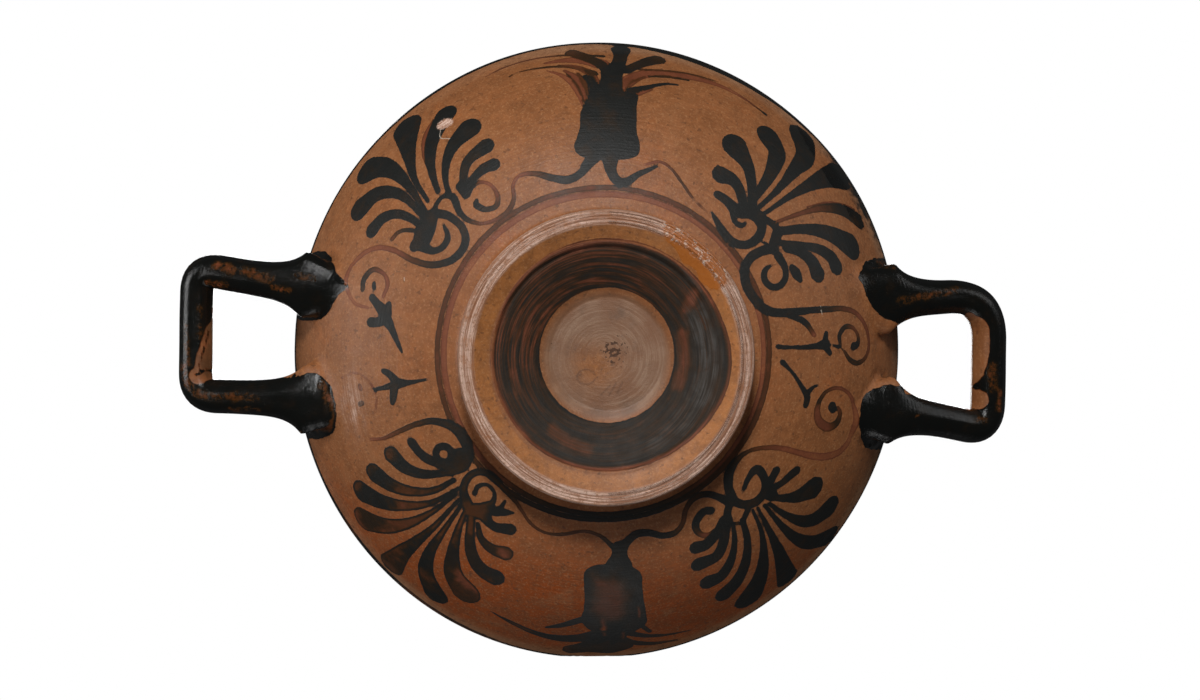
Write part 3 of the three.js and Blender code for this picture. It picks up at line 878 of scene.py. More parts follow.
def handle_line(handle, steps):
    """Middle line of a handle's roll from root to root, before it is turned to its side, with the arm
    radius and the root's spread out and in at each point."""
    corners = [np.array((arm["reach"], arm["end"])) for arm in handle["arms"]]
    roots = [np.array((ROOT_RADIUS, arm["root"])) for arm in handle["arms"]]
    lips = [np.array((LIP_POINT, arm["lip"])) for arm in handle["arms"]]
    bends = [arm["bend"] for arm in handle["arms"]]

    def before(corner, start, bend):
        return corner + bend * (start - corner) / np.linalg.norm(start - corner)

    bar_start = before(corners[0], corners[1], bends[0])
    bar_end = before(corners[1], corners[0], bends[1])
    plan = joined(
        bezier([roots[0], lips[0], before(corners[0], lips[0], bends[0])], 60),
        bezier([before(corners[0], lips[0], bends[0]), corners[0], bar_start], 30),
        bezier([bar_start, bar_end], 20),
        bezier([bar_end, corners[1], before(corners[1], lips[1], bends[1])], 30),
        bezier([before(corners[1], lips[1], bends[1]), lips[1], roots[1]], 60),
    )
    out = (plan[:, 0] - ROOT_RADIUS) / (corners[0][0] - ROOT_RADIUS)
    height = ROOT_HEIGHT + (HANDLE_TOP - ROOT_HEIGHT) * out**1.25
    line = np.column_stack([plan, height])
    along = lengths_along(line)
    at = np.linspace(0, along[-1], steps + 1)
    return np.column_stack([np.interp(at, along, line[:, k]) for k in range(3)])


def handle_plan(handle):
    """The middle line of a handle seen from above, on its own side of the cup."""
    side = math.cos(handle["turn"])
    return handle_line(handle, 40)[:, :2] * side


def unit(vectors):
    return vectors / np.linalg.norm(vectors, axis=-1, keepdims=True)


def handle_frame(handle, steps=ROLL_STEPS):
    """Middle line, outward and upward directions and the four radii (out, in, up, down) at each step."""
    line = handle_line(handle, steps)
    along = unit(np.gradient(line, axis=0))
    up = unit(np.array([0, 0, 1.0]) - along * along[:, 2:])
    outward = np.cross(along, up)
    share = np.linspace(0, 1, steps + 1)
    second = smoothstep(share, 0.42, 0.58)
    (a_out, a_in), (b_out, b_in) = (arm["spread"] for arm in handle["arms"])
    a_radius, b_radius = (arm["radius"] for arm in handle["arms"])
    bar = smoothstep(line[:, 0], 112, 119)
    radius = a_radius + (b_radius - a_radius) * second
    radius = radius + (handle["bar"] - radius) * bar
    root = smoothstep(line[:, 0], 75, 90) * np.exp(-np.maximum(line[:, 0] - 91, -1.8) / 4.4)
    sunk = 1 - smoothstep(line[:, 0], 76, 92)
    uneven = 0.12 * noise(12 * share, 7 + int(handle["bar"] * 10))
    radii = radius[:, None] + np.stack([
        (a_out + (b_out - a_out) * second) * root + uneven,
        (a_in + (b_in - a_in) * second) * root - uneven,
        0.3 * uneven - 0.2 * bar,
        -0.3 * uneven - 0.2 * bar - 0.4 * root - 1.4 * sunk,
    ], -1)
    return line, outward, up, radii


def handle_mesh(handle):
    """Points and faces of one handle's roll, closed at both ends, as it comes off the potter's hands."""
    line, outward, up, radii = handle_frame(handle)
    sides = np.arange(ROLL_SIDES) * 2 * math.pi / ROLL_SIDES
    c, s = np.cos(sides), np.sin(sides)
    across = np.where(c > 0, radii[:, :1], radii[:, 1:2]) * c
    lift = np.where(s > 0, radii[:, 2:3], radii[:, 3:4]) * s
    step = np.arange(len(line))[:, None]
    ridges = 1 + 0.02 * np.cos(7 * sides + 0.9 * np.sin(step / 30)) + 0.01 * np.cos(12 * sides + 2)
    points = (line[:, None] + (across * ridges)[..., None] * outward[:, None]
              + (lift * ridges)[..., None] * up[:, None])
    points = points.reshape(-1, 3)
    faces = []
    for i in range(len(line) - 1):
        for j in range(ROLL_SIDES):
            k = (j + 1) % ROLL_SIDES
            a, b = i * ROLL_SIDES, (i + 1) * ROLL_SIDES
            faces.append((a + j, b + j, b + k, a + k))
    faces.append(tuple(range(ROLL_SIDES)))
    faces.append(tuple(range(len(points) - 1, len(points) - 1 - ROLL_SIDES, -1)))
    c, s = math.cos(handle["turn"]), math.sin(handle["turn"])
    points = points @ np.array([[c, s, 0], [-s, c, 0], [0, 0, 1]])
    return points, faces


def core_mesh():
    """A solid filling the hollow and part of the wall, which cuts each roll off inside the clay."""
    section = joined(
        bezier([(0, FLOOR_HEIGHT - 1.5), (61, FLOOR_HEIGHT - 1.5), (LIP_RADIUS - 10, 39),
                (LIP_RADIUS - 2.2, HEIGHT + 1)], 40),
        bezier([(LIP_RADIUS - 2.2, HEIGHT + 1), (0, HEIGHT + 1)], 1),
    )
    rings = []
    for r, z in section:
        count = 1 if r < 1e-6 else 120
        theta = np.arange(count) * 2 * math.pi / count
        x, y = r * np.cos(theta) * drawn_in(z), r * np.sin(theta)
        rings.append(np.stack([x, y, np.full(count, z)], -1))
    return np.concatenate(rings), stacked(rings, 0)[0]


def handle_gap(points):
    """Rough distance of points outside the nearest handle's surface, in millimetres."""
    best = np.full(len(points), 99.0)
    for handle in HANDLES.values():
        c, s = math.cos(handle["turn"]), math.sin(handle["turn"])
        local = points @ np.array([[c, -s, 0], [s, c, 0], [0, 0, 1]])
        near = np.nonzero(local[:, 0] > ROOT_RADIUS - 10)[0]
        line, outward, up, radii = handle_frame(handle, 90)
        offset = local[near][:, None] - line[None]
        nearest = np.linalg.norm(offset, axis=2).argmin(1)
        v = offset[np.arange(len(near)), nearest]
        a = (v * outward[nearest]).sum(1)
        b = (v * up[nearest]).sum(1)
        out, back, over, below = radii[nearest].T
        share = np.hypot(a / np.where(a > 0, out, back), b / np.where(b > 0, over, below))
        gap = (share - 1) * np.linalg.norm(v, axis=1) / np.maximum(share, 1e-6)
        best[near] = np.minimum(best[near], gap)
    return best


def wall_gap(points):
    """Distance of points outside the bowl's outer wall, in millimetres."""
    z = points[:, 2]
    r = np.hypot(points[:, 0] / drawn_in(z), points[:, 1])
    line = WALL[::6]
    offset = np.stack([r, z], -1)[:, None] - line[None]
    nearest = np.linalg.norm(offset, axis=2).argmin(1)
    tangent = unit(np.gradient(line, axis=0))[nearest]
    v = offset[np.arange(len(points)), nearest]
    return v[:, 0] * tangent[:, 1] - v[:, 1] * tangent[:, 0] - relief(laid_flat(points))


def merged_gap(points):
    """Distance outside bowl and handles together, with the corner between them filled softly."""
    a, b = wall_gap(points), handle_gap(points)
    h = np.clip(0.5 + 0.5 * (b - a) / SOFTENING, 0, 1)
    return b + (a - b) * h - SOFTENING * h * (1 - h)


def soften_roots(points, edges):
    """Draws the clay smoothly over the corner where each handle meets the wall."""
    wall, roll = wall_gap(points), handle_gap(points)
    reach = 1.15 * SOFTENING
    zone = np.nonzero((wall > -0.8) & (wall < reach) & (np.abs(roll) < reach)
                      & (np.abs(points[:, 0]) > ROOT_RADIUS - 4) & (points[:, 2] < HEIGHT - 1))[0]
    member = np.zeros(len(points), bool)
    member[zone] = True
    inside_edges = edges[member[edges].any(1)]
    for _ in range(6):
        total = np.zeros_like(points)
        count = np.zeros(len(points))
        for a, b in ((0, 1), (1, 0)):
            np.add.at(total, inside_edges[:, a], points[inside_edges[:, b]])
            np.add.at(count, inside_edges[:, a], 1)
        middle = total[zone] / np.maximum(count[zone], 1)[:, None]
        points[zone] += 0.45 * (middle - points[zone])
        for _ in range(3):
            here = points[zone]
            gap = merged_gap(here)
            rise = [merged_gap(here + step) - merged_gap(here - step) for step in np.eye(3) * 0.05]
            slope = np.stack(rise, -1) / 0.1
            points[zone] -= gap[:, None] * slope / np.maximum((slope**2).sum(1), 0.2)[:, None]
    return points


# ---------------------------------------------------------------- object, attributes and materials

def new_mesh(name, points, faces):
    mesh = bpy.data.meshes.new(name)
    mesh.from_pydata((np.asarray(points) * MM).tolist(), [], faces)
    mesh.validate()
    return mesh


def new_object(name, mesh):
    piece = bpy.data.objects.new(name, mesh)
    bpy.context.scene.collection.objects.link(piece)
    return piece


def combine(piece, other, operation):
    """Applies a boolean with another object to the piece, keeping the result as its mesh."""
    modifier = piece.modifiers.new(operation, "BOOLEAN")
    modifier.operation = operation
    modifier.solver = "EXACT"
    modifier.object = other
    graph = bpy.context.evaluated_depsgraph_get()
    made = bpy.data.meshes.new_from_object(piece.evaluated_get(graph))
    old = piece.data
    piece.modifiers.clear()
    piece.data = made
    bpy.data.meshes.remove(old)


def build_body():
    """Bowl, foot and handles as one mesh."""
    cup = new_object("kylix_body", new_mesh("kylix_body", *cup_mesh()))
    core = new_object("core", new_mesh("core", *core_mesh()))
    for side, handle in HANDLES.items():
        roll = new_object("roll_" + side, new_mesh("roll_" + side, *handle_mesh(handle)))
        combine(roll, core, "DIFFERENCE")
        combine(cup, roll, "UNION")
        bpy.data.objects.remove(roll)
    bpy.data.objects.remove(core)
    mesh = cup.data
    count = len(mesh.vertices)
    points = np.empty(count * 3)
    mesh.vertices.foreach_get("co", points)
    points = points.reshape(-1, 3) / MM
    edges = np.empty(len(mesh.edges) * 2, int)
    mesh.edges.foreach_get("vertices", edges)
    points = soften_roots(points, edges.reshape(-1, 2))
    mesh.vertices.foreach_set("co", (points * MM).ravel())
    mesh.update()
    for polygon in mesh.polygons:
        polygon.use_smooth = True
    return cup, points


def coated_edge(points, flat, depth, outside, under, inside):
    """The areas covered with slip besides the strokes: the handles, the lip, the inside and the band
    under the foot. Signed like the strokes' edge, with the strength of slip."""
    x, y = points[:, 0], points[:, 1]
    theta = np.arctan2(y, x)
    around = np.stack([np.cos(theta), np.sin(theta)], -1)

    # a roll is coated from its root outwards; the inner flares of three arms stay bare
    plan = points[:, :2]
    roots = np.max([inside_outline(plan, on_wall(outline)[:, :2], 3.0) for outline in ROOTS], axis=0)
    middle = np.min([line_gap(plan, handle_plan(handle)) for handle in HANDLES.values()], axis=0)
    bare_flare = np.where(x > 0, np.abs(y) < 16.5, (y > 0) & (y < 13.5))
    roll = np.min([depth - 0.8, np.hypot(x, y) - COAT_START, COAT_HALF - middle * bare_flare], axis=0)
    roll = np.maximum(roll, np.abs(x) - COAT_ROUND)
    coat = np.maximum(roots + 0.25 * noise(points / 1.8, 22), roll)

    thick = 1.5 + 3.4 * bell(theta, -1.2, 0.32) + 2.2 * bell(theta, 2.3, 0.5)
    lip = np.hypot(*flat.T) - (RHO_LIP - thick) + 0.4 * noise(2 * around, 31)
    edge = np.where(outside, np.maximum(coat, lip), -3.0)

    r = np.hypot(x - 0.5, y + 0.5)
    slump = 1.0 * noise(2.2 * around, 41) + 0.3 * noise(9 * around, 42)
    spill = 1.9 * bell(theta, 0.1, 0.548) - 0.8 * bell(theta, 1.6, 0.707)
    rim = 34.2 + 0.25 * slump + spill - r
    edge = np.where(under, np.minimum(r - DISC_RADIUS, rim), edge)
    fired = 0.95 - 0.5 * (1 - smoothstep(rim, 0.4, 1.5)) - marked(ragged(points, 0.35), MISFIRED)
    strength = np.where(under, fired, 1.0)

    tondo = np.hypot(x, y)
    circle = np.minimum(tondo - 8.2, 10.4 - tondo)
    edge = np.where(inside, np.max([tondo - 13, circle, 2.2 - tondo], axis=0), edge)
    return edge, strength


def foot_fields(points, under, foot):
    """Colour and wear of the foot: streaks, grazes (partly painted sheen) and flakes in the band, the
    greyed and pitted disc, kept orange at its left edge as painted shade, the golden bevel inside the ring,
    and old varnish."""
    plan = points[:, :2]
    x, y = plan.T
    r = np.hypot(x, y)
    upper = smoothstep(plan @ np.array([-0.5, -0.86]) / np.maximum(r, 1), -0.4, 0.7)
    band = smoothstep(r, DISC_RADIUS - 0.4, DISC_RADIUS + 0.6) * (1 - smoothstep(r, 33, 35))
    bevel = smoothstep(r, 33.5, 35) * (1 - smoothstep(r, 38.4, 39.2))
    disc = under * (1 - smoothstep(r, 17.5, 20))
    glow = bell(x, -3, 7.75) * bell(y, 3, 6.32)
    # painted shade: the disc's edge on the left, in the recess wall's shadow, keeps the darker orange clay
    # instead of the grey
    shaded_edge = smoothstep(r, 15.5, 18.5) * (1 - smoothstep(x, -8, 12))
    varnish = inside_outline(plan, VARNISH, 3.0) + 0.5 * noise(points / 1.3, 61)
    return {
        "streak": under * (r < 35) * (0.35 + 0.65 * upper),
        "recess_band": under * band,
        "grazed_and_sheen": under * marked(ragged(points, 1.2), GRAZED_AND_SHEEN),
        "flaked": under * (marked(plan, FLAKE) + 0.6 * marked(plan, SCRATCHED)),
        "recess": disc * (1 - 0.95 * glow) * (1 - 0.45 * shaded_edge),
        "golden": under * np.maximum(bevel, 0.7 * disc * glow),
        "pits": disc * bell(x, 2.6, 4.2) * bell(y, -1.6, 4.6),
        "lacquer": np.where(under | foot, varnish, -3.0),
    }


def handle_fields(points, facing_up, near_wall, on_handle):
    """Clay left bare inside the loops, with a film of slip on the left, and slip rubbed thin below."""
    plan = points[:, :2]
    bare = np.max([inside_outline(plan, outline, 3.0) for outline in BARE], axis=0)
    bare = np.min([bare] + [line_gap(plan, line) - half for line, half in STAINS], axis=0)
    worn = marked(ragged(points, 0.4), WORN) * (facing_up < 0.2)
    return {
        "bare": np.where(on_handle & (facing_up < 0.35), bare, -3.0),
        "bare_slip": np.where(points[:, 0] < 0, 0.36, 0.0),
        "worn": worn * (on_handle | near_wall),
    }


def wall_fields(points, flat, outside, on_handle):
    """The clay's redder, darker +Y side, painted warm reflected light, and its paler, rougher rim, painted
    light everywhere but on the lit side; petals with thin slip, and pale scratches.
    """
    plan = points[:, :2]
    lit_side = plan @ np.array([-0.94, -0.34]) / np.maximum(np.hypot(*plan.T), 1)
    # painted light: the clay near the lip is paler and greyer everywhere except on the side the lamps light
    rim = smoothstep(np.hypot(*flat.T), RHO_LIP - 11, RHO_LIP - 5)
    rim = rim * (1 - 0.9 * smoothstep(lit_side, 0.3, 0.9))
    thinned = smoothstep(flat @ np.array([-0.5, 0.86]), 25, 70) * smoothstep(-flat[:, 0], 4, 22)
    return {
        # painted warm reflected light: redder, darker clay towards +Y
        "painted_warm_light": smoothstep(flat @ np.array([-0.12, 1.0]), 42, 78) * outside,
        "rim": rim * outside * ~on_handle,
        "thinned": thinned * outside * ~on_handle,
        "scrape": -np.min([line_gap(flat, line) for line in SCRAPES], axis=0) - 3.0 * ~outside,
    }


def scuffed(points, flat, chip, outside):
    """How far the surface is scuffed pale: the resting ring, the chip, and streaks by the left handle."""
    theta = np.arctan2(points[:, 1], points[:, 0])
    around = np.stack([np.cos(theta), np.sin(theta)], -1)
    r = np.hypot(points[:, 0], points[:, 1])
    ring = smoothstep(r, RING_INNER - 0.6, RING_INNER + 0.3) * (1 - smoothstep(points[:, 2], 3, 5))
    rubbed = bell(flat[:, 0], -79.5, 4) * bell(flat[:, 1], 15, 9)
    streaky = np.clip(0.5 + 0.5 * noise(points * (2.6, 0.35, 0.5), 52), 0, 1)
    return np.max([
        ring * ~outside * (0.8 + 0.2 * noise(5 * around, 51)),
        1.5 * smoothstep(chip, -0.25, 0.25) * outside,
        0.9 * rubbed * streaky * outside,
    ], axis=0)


def paint_fields(points, normals):
    """Every painted or worn quantity at each point of the body."""
    r = np.hypot(points[:, 0], points[:, 1])
    z = points[:, 2]
    facing_up = normals[:, 2]
    depth = wall_gap(points)
    near_wall = (depth > -1.2) & (z > FOOT_JOIN[1] - 0.3) & (r > RHO_FOOT - 1)
    on_handle = (handle_gap(points) < 0.3) & (depth > 0.4)
    outside = (near_wall | on_handle) & ~((z > HEIGHT - 1.6) & (r > 80))
    under = (z < FOOT_JOIN[1] - 0.3) & (r < FOOT_RADIUS + 1) & (facing_up < 0.3)
    foot = (z <= FOOT_JOIN[1] - 0.3) & (r < FOOT_RADIUS + 2) & ~under
    inside = ~outside & ~under & ~foot

    flat = laid_flat(points)
    edge, strength = coated_edge(points, flat, depth, outside, under, inside)
    coated = on_handle | (outside & (edge > -0.3) & (r > 76))
    drawn, slip = signed_edge(flat)
    drawn = np.where(outside & ~on_handle, drawn, -3.0)
    strength = np.where((drawn > edge) & (drawn > -2.9), slip, strength)
    edge = np.maximum(edge, drawn)
    chip = inside_outline(flat, CHIP, 3.0)
    return {
        "edge": np.where(outside, np.minimum(edge, -chip), edge),
        "strength": strength,
        "haze": np.where(coated, 0.06, np.where(under, 0.55, 0.4)),
        "scuff": scuffed(points, flat, chip, outside),
        **foot_fields(points, under, foot),
        **handle_fields(points, facing_up, near_wall, on_handle),
        **wall_fields(points, flat, outside, on_handle),
    }


def point_values(mesh, fields):
    for name, values in fields.items():
        attribute = mesh.attributes.new(name, "FLOAT", "POINT")
        attribute.data.foreach_set("value", np.asarray(values, np.float32))


class Field:
    """One value in a material's node tree. Arithmetic with it adds the node that works the result out."""

    def __init__(self, nodes, socket):
        self.nodes = nodes
        self.socket = socket

    def __add__(self, other):
        return self.nodes.math("ADD", self, other)

    def __sub__(self, other):
        return self.nodes.math("SUBTRACT", self, other)

    def __rsub__(self, other):
        return self.nodes.math("SUBTRACT", other, self)

    def __mul__(self, other):
        return self.nodes.math("MULTIPLY", self, other)

    def ramp(self, low, high):
        """0 below low and 1 above high, smooth in between."""
        node = self.nodes.tree.nodes.new("ShaderNodeMapRange")
        node.interpolation_type = "SMOOTHSTEP"
        return self.nodes.filled(node, {"Value": self, "From Min": low, "From Max": high}, "Result")


class Nodes:
    """A new material, with short calls for building its node tree."""

    def __init__(self, name):
        self.material = bpy.data.materials.new(name)
        self.material.use_nodes = True
        self.tree = self.material.node_tree
        self.shader = self.tree.nodes["Principled BSDF"]

    def put(self, socket, value):
        """Links a field to a socket, or sets the socket to a number or a colour."""
        if isinstance(value, Field):
            self.tree.links.new(value.socket, socket)
        else:
            socket.default_value = (*value, 1) if isinstance(value, tuple) else value

    def filled(self, node, inputs, output=0):
        """The field of a node's output, with the node's inputs filled in."""
        for key, value in inputs.items():
            self.put(node.inputs[key], value)
        return Field(self, node.outputs[output])

    def math(self, operation, a, b=0.0):
        node = self.tree.nodes.new("ShaderNodeMath")
        node.operation = operation
        return self.filled(node, {0: a, 1: b})

    def clamped(self, a):
        node = self.tree.nodes.new("ShaderNodeClamp")
        return self.filled(node, {"Value": a}, "Result")

    def mix(self, a, b, share):
        """Colour a, giving way to colour b as share goes from 0 to 1."""
        node = self.tree.nodes.new("ShaderNodeMix")
        node.data_type = "RGBA"
        return self.filled(node, {0: share, 6: a, 7: b}, 2)

    def value(self, name):
        node = self.tree.nodes.new("ShaderNodeAttribute")
        node.attribute_name = name
        return self.filled(node, {}, "Fac")

    def place(self):
        return self.filled(self.tree.nodes.new("ShaderNodeTexCoord"), {}, "Object")

    def noise(self, vector, scale, detail=3, roughness=0.55):
        node = self.tree.nodes.new("ShaderNodeTexNoise")
        inputs = {"Vector": vector, "Scale": scale, "Detail": detail, "Roughness": roughness}
        return self.filled(node, inputs, "Fac")

    def colours(self, value, stops):
        node = self.tree.nodes.new("ShaderNodeValToRGB")
        ramp = node.color_ramp
        while len(ramp.elements) < len(stops):
            ramp.elements.new(0.5)
        for element, (position, colour) in zip(ramp.elements, stops):
            element.position = position
            element.color = (*colour, 1)
        return self.filled(node, {"Fac": value}, "Color")

    def wheel_place(self):
        """Coordinates for streaks that run round the axis: radius, and very little of the direction."""
        split = self.tree.nodes.new("ShaderNodeSeparateXYZ")
        x, y, z = (self.filled(split, {0: self.place()}, k) for k in range(3))
        radius = self.math("SQRT", x * x + y * y)
        scale = self.math("DIVIDE", 0.0007, self.math("MAXIMUM", radius, 0.001))
        join = self.tree.nodes.new("ShaderNodeCombineXYZ")
        return self.filled(join, {0: radius + z, 1: x * scale, 2: y * scale})

    def bump(self, height, distance, strength):
        node = self.tree.nodes.new("ShaderNodeBump")
        return self.filled(node, {"Height": height, "Distance": distance, "Strength": strength}, "Normal")


def clay_colour(m, place, wheel):
    """Fired clay: orange-brown with broad clouds, faint turning streaks and small dark and pale grains."""
    base = m.mix((0.34, 0.124, 0.040), (0.38, 0.142, 0.050), m.noise(place, 22, 4).ramp(0.35, 0.68))
    # painted warm reflected light: redder, darker clay towards +Y
    base = m.mix(base, (0.39, 0.070, 0.001), m.value("painted_warm_light"))
    base = m.mix(base, (0.53, 0.200, 0.052), m.value("golden") * 0.75)
    # painted light: paler, greyer clay near the lip, except on the lit side
    base = m.mix(base, (0.41, 0.225, 0.120), m.value("rim") * 0.75)
    flush, shade, speckle = (0.43, 0.115, 0.022), (0.19, 0.068, 0.022), (0.17, 0.062, 0.020)
    pale, streak = (0.47, 0.20, 0.080), (0.24, 0.080, 0.024)
    grain, dirt = (0.55, 0.27, 0.12), (0.12, 0.048, 0.02)
    for pattern, low, high, share, colour in (
        (m.noise(place, 48, 5, 0.65), 0.5, 0.75, 0.45, flush),
        (m.noise(place, 130, 5, 0.7), 0.42, 0.78, 0.5, shade),
        (m.noise(place, 300, 6, 0.8), 0.36, 0.66, 0.56, speckle),
        (m.noise(place, 75, 5, 0.7), 0.52, 0.72, 0.35, pale),
        (m.noise(wheel, 900, 3), 0.45, 0.75, 0.34, streak),
        (m.noise(place, 1300, 3, 0.7), 0.5, 0.7, 0.42, grain),
        (m.noise(place, 620, 2), 0.61, 0.72, 0.6, dirt),
    ):
        base = m.mix(base, colour, pattern.ramp(low, high) * share)
    grey = m.mix((0.29, 0.165, 0.100), (0.26, 0.125, 0.066), m.noise(place, 60, 3).ramp(0.3, 0.7))
    arcs = m.noise(wheel, 1300, 5, 0.75).ramp(0.36, 0.66) - m.noise(place, 130, 4).ramp(0.3, 0.8)
    grey = m.mix(grey, (0.50, 0.33, 0.22), arcs * 0.5)
    grey = m.mix(grey, (0.17, 0.110, 0.076), m.noise(place, 95, 4, 0.6).ramp(0.5, 0.7) * 0.65)
    base = m.mix(base, grey, m.value("recess") * 0.92)
    pit = m.noise(place, 880, 3) + m.value("pits") * 0.29 - 0.73
    return m.mix(base, (0.055, 0.020, 0.008), pit.ramp(0, 0.05) * 0.85)


def slip_strength(m, place, wheel, edge, bare):
    """How thick the slip lies: streaked by the wheel under the foot, rubbed on the handles, thin in the
    middle of some petals, pooled along edges, and no more than a film on bare clay."""
    streaks = m.noise(wheel, 2300, 4, 0.65).ramp(0.34, 0.70) * m.value("streak")
    rubbed = m.noise(place, 480, 6, 0.75).ramp(0.34, 0.64) * m.value("worn")
    middle = m.value("edge").ramp(0.25, 1.1) * m.noise(place, 75, 4).ramp(0.42, 0.60) * m.value("thinned")
    brushed = m.noise(place, 170, 4, 0.65).ramp(0.45, 0.8)
    strength = m.value("strength") - streaks * 0.56 - rubbed * 0.85 - middle * 0.40 - brushed * 0.16
    film = m.value("bare_slip") * 0.35 + uneven(m, place) * 0.3
    strength = strength + bare * (film - strength)
    pooled = (1 - edge.ramp(0.1, 0.7)) * 0.14
    return m.clamped(strength + pooled)


def uneven(m, place):
    """The waver of the edges of bare clay."""
    return (m.noise(place, 260, 4) - 0.5) * 1.1


def slip_colour(m, strength):
    """Thin slip fires red-brown and thick slip black, deepest where it is glossy."""
    slip = m.colours(strength, [
        (0.0, (0.27, 0.075, 0.022)),
        (0.35, (0.19, 0.050, 0.022)),
        (0.6, (0.084, 0.026, 0.006)),
        (0.8, (0.030, 0.014, 0.004)),
        (1.0, (0.0100, 0.0102, 0.0088)),
    ])
    glossy = 1 - m.value("haze").ramp(0.1, 0.25)
    return m.mix(slip, (0.0030, 0.0034, 0.0030), glossy * strength.ramp(0.75, 0.95) * 0.7)


def with_wear_and_painted_light(m, place, wheel, colour, scuff, lacquer):
    """The colour with the scuffed ring and chip, scratches (partly painted sheen where grazed), flakes, and
    varnish with pale painted glints.
    """
    ring = m.mix((0.33, 0.155, 0.088), (0.84, 0.59, 0.47), m.noise(wheel, 2300, 5, 0.8).ramp(0.44, 0.57))
    ring = m.mix(ring, (0.33, 0.155, 0.085), m.noise(place, 900, 4, 0.8).ramp(0.5, 0.62) * 0.75)
    colour = m.mix(colour, ring, scuff)
    # grey turning scratches in the black band, heavier where grazed; there they are partly painted sheen
    scratch = m.noise(wheel, 3200, 3).ramp(0.3, 0.7) * m.noise(place, 230, 5).ramp(0.2, 0.6)
    scratch = scratch * (m.value("grazed_and_sheen") + 0.14) * m.value("recess_band").ramp(0.1, 0.6)
    colour = m.mix(colour, (0.088, 0.080, 0.072), scratch)
    colour = m.mix(colour, (0.62, 0.52, 0.42), m.value("scrape").ramp(-0.34, -0.1) * 0.8)
    colour = m.mix(colour, (0.10, 0.045, 0.025), m.value("flaked") * 0.8)
    colour = m.mix(colour, (0.46, 0.135, 0.022), lacquer * 0.72)
    # painted highlights: pale glints speckled over the varnish on the scuffed ring
    painted_glints = lacquer * scuff * m.noise(place, 560, 5, 0.7).ramp(0.52, 0.60)
    return m.mix(colour, (0.85, 0.74, 0.64), painted_glints * 0.75)


def fired_clay():
    """The one material of the cup: reserved clay, thin red-brown slip, black gloss, wear and some painted
    light and shade.
    """
    m = Nodes("fired_clay")
    place, wheel = m.place(), m.wheel_place()
    edge = m.value("edge") + (m.noise(place, 420, 3) - 0.5) * 0.5
    bare = (m.value("bare") + uneven(m, place)).ramp(-0.25, 0.25)
    strength = slip_strength(m, place, wheel, edge, bare)
    opacity = edge.ramp(-0.13, 0.13) * strength.ramp(-0.1, 0.5)
    scuff = m.clamped(m.noise(place, 300, 4).ramp(0.18, 0.5) * m.value("scuff"))
    lacquer = m.value("lacquer").ramp(-0.3, 0.5)

    colour = m.mix(clay_colour(m, place, wheel), slip_colour(m, strength), opacity)
    soot = bare * m.value("bare_slip") * m.noise(place, 150, 5).ramp(0.3, 0.6)
    colour = m.mix(colour, (0.085, 0.045, 0.020), soot * 1.9)
    m.put(m.shader.inputs["Base Color"], with_wear_and_painted_light(m, place, wheel, colour, scuff, lacquer))

    dull = m.noise(place, 180, 3) * 0.2 + 0.4 + m.value("painted_warm_light") * 0.28
    gloss = m.value("haze") + m.noise(place, 210, 4) * 0.3
    rough = dull + opacity * (gloss - dull) + scuff * 0.12
    rough = rough * (1 - lacquer * 0.72) + m.value("rim") * 0.5
    m.put(m.shader.inputs["Roughness"], m.clamped(rough))
    m.shader.inputs["Specular IOR Level"].default_value = 0.4

    grit = m.noise(place, 1100, 4, 0.7) * 0.6 + m.noise(wheel, 1100, 3) * 0.5
    rubble = (lacquer + m.value("scuff")) * m.noise(place, 700, 3) * 0.6
    height = grit + opacity * 0.18 + rubble
    m.put(m.shader.inputs["Normal"], m.bump(height, 0.00032, 0.7))
    return m.material


# ---------------------------------------------------------------- camera, floor and light

def add_camera():
    """Below the cup and a little to one side, looking up into the foot, with -Y at the picture's top."""
    place = Vector((-50.8, -38.8, -930.0)) * MM
    aim = Vector((1.2, 0.0, 62.0)) * MM
    forward = (aim - place).normalized()
    right = forward.cross(Vector((0, -1, 0))).normalized()
    up = right.cross(forward)
    camera = bpy.data.cameras.new("camera")
    camera.lens = 96.5
    camera.sensor_width = 36
    piece = bpy.data.objects.new("camera", camera)
    bpy.context.scene.collection.objects.link(piece)
    piece.matrix_world = Matrix((
        (right.x, up.x, -forward.x, place.x),
        (right.y, up.y, -forward.y, place.y),
        (right.z, up.z, -forward.z, place.z),
        (0, 0, 0, 1),
    ))
    bpy.context.scene.camera = piece


def add_floor():
    """A pale floor that the cup stands on. Its underside is clear, so the cup is seen from below too."""
    mesh = bpy.data.meshes.new("floor")
    size = 3.0
    mesh.from_pydata([(-size, -size, 0), (size, -size, 0), (size, size, 0), (-size, size, 0)], [],
                     [(0, 1, 2, 3)])
    floor = new_object("floor", mesh)
    m = Nodes("floor")
    m.put(m.shader.inputs["Base Color"], (0.82, 0.81, 0.79))
    m.put(m.shader.inputs["Roughness"], 0.7)
    side = m.tree.nodes.new("ShaderNodeNewGeometry").outputs["Backfacing"]
    clear = m.tree.nodes.new("ShaderNodeBsdfTransparent").outputs[0]
    both = m.tree.nodes.new("ShaderNodeMixShader")
    for socket, source in zip(both.inputs, (side, m.shader.outputs[0], clear)):
        m.tree.links.new(source, socket)
    m.tree.links.new(both.outputs[0], m.tree.nodes["Material Output"].inputs["Surface"])
    mesh.materials.append(m.material)
    floor.visible_shadow = False
    floor.visible_diffuse = False
    floor.visible_glossy = False


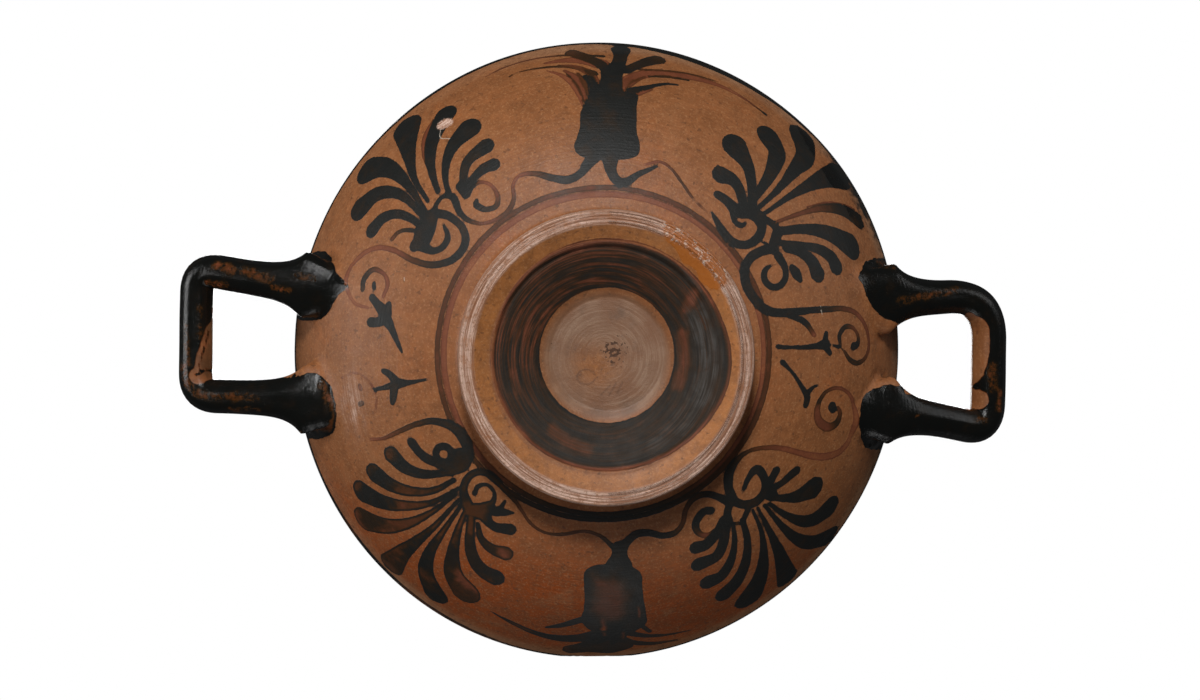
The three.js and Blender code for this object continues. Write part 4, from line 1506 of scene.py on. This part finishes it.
def add_lamp(name, polar, around, away, size, power):
    """A round lamp aimed at the cup: polar degrees from straight below, turned around the cup from +X."""
    polar, around = math.radians(polar), math.radians(around)
    way = Vector((math.sin(polar) * math.cos(around), math.sin(polar) * math.sin(around), -math.cos(polar)))
    lamp = bpy.data.lights.new(name, "AREA")
    lamp.shape = "DISK"
    lamp.size = size
    lamp.energy = power
    piece = bpy.data.objects.new(name, lamp)
    bpy.context.scene.collection.objects.link(piece)
    piece.location = way * away
    piece.rotation_mode = "QUATERNION"
    piece.rotation_quaternion = (-way).to_track_quat("-Z", "Y")


def add_world():
    """White behind the cup, and a dimmer even light from all round it."""
    world = bpy.data.worlds.new("studio")
    bpy.context.scene.world = world
    world.use_nodes = True
    tree = world.node_tree
    backdrop = tree.nodes["Background"]
    backdrop.inputs["Color"].default_value = (1, 1, 1, 1)
    backdrop.inputs["Strength"].default_value = 1.0
    around = tree.nodes.new("ShaderNodeBackground")
    around.inputs["Color"].default_value = (0.95, 0.97, 1, 1)
    around.inputs["Strength"].default_value = 0.04
    path = tree.nodes.new("ShaderNodeLightPath")
    both = tree.nodes.new("ShaderNodeMixShader")
    tree.links.new(path.outputs["Is Camera Ray"], both.inputs[0])
    tree.links.new(around.outputs[0], both.inputs[1])
    tree.links.new(backdrop.outputs[0], both.inputs[2])
    tree.links.new(both.outputs[0], tree.nodes["World Output"].inputs[0])


def add_lights():
    add_lamp("key", 35, 262, 1.2, 0.24, 10.5)
    add_lamp("left", 82, 186, 1.2, 0.5, 5.0)
    add_lamp("right", 82, 335, 1.2, 0.5, 1.5)
    add_lamp("near", 82, 88, 1.2, 0.5, 1.9)
    add_lamp("above", 180, 0, 1.2, 0.9, 14)


# ---------------------------------------------------------------- scene

def main():
    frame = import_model()
    bpy.context.scene.view_settings.view_transform = "Standard"
    add_camera()
    add_floor()
    add_world()
    add_lights()

    draw_upper_left_palmette()
    draw_upper_right_palmette()
    draw_lower_right_palmette()
    draw_lower_left_palmette()
    draw_left_fillers()
    draw_upper_lotus()
    draw_lower_lotus()
    draw_ring_round_foot()

    body, points = build_body()
    normals = np.empty(len(points) * 3)
    body.data.vertices.foreach_get("normal", normals)
    point_values(body.data, paint_fields(points, normals.reshape(-1, 3)))
    body.data.materials.clear()
    body.data.materials.append(fired_clay())
    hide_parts(*frame["nodes"])
    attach(body, "root")


main()
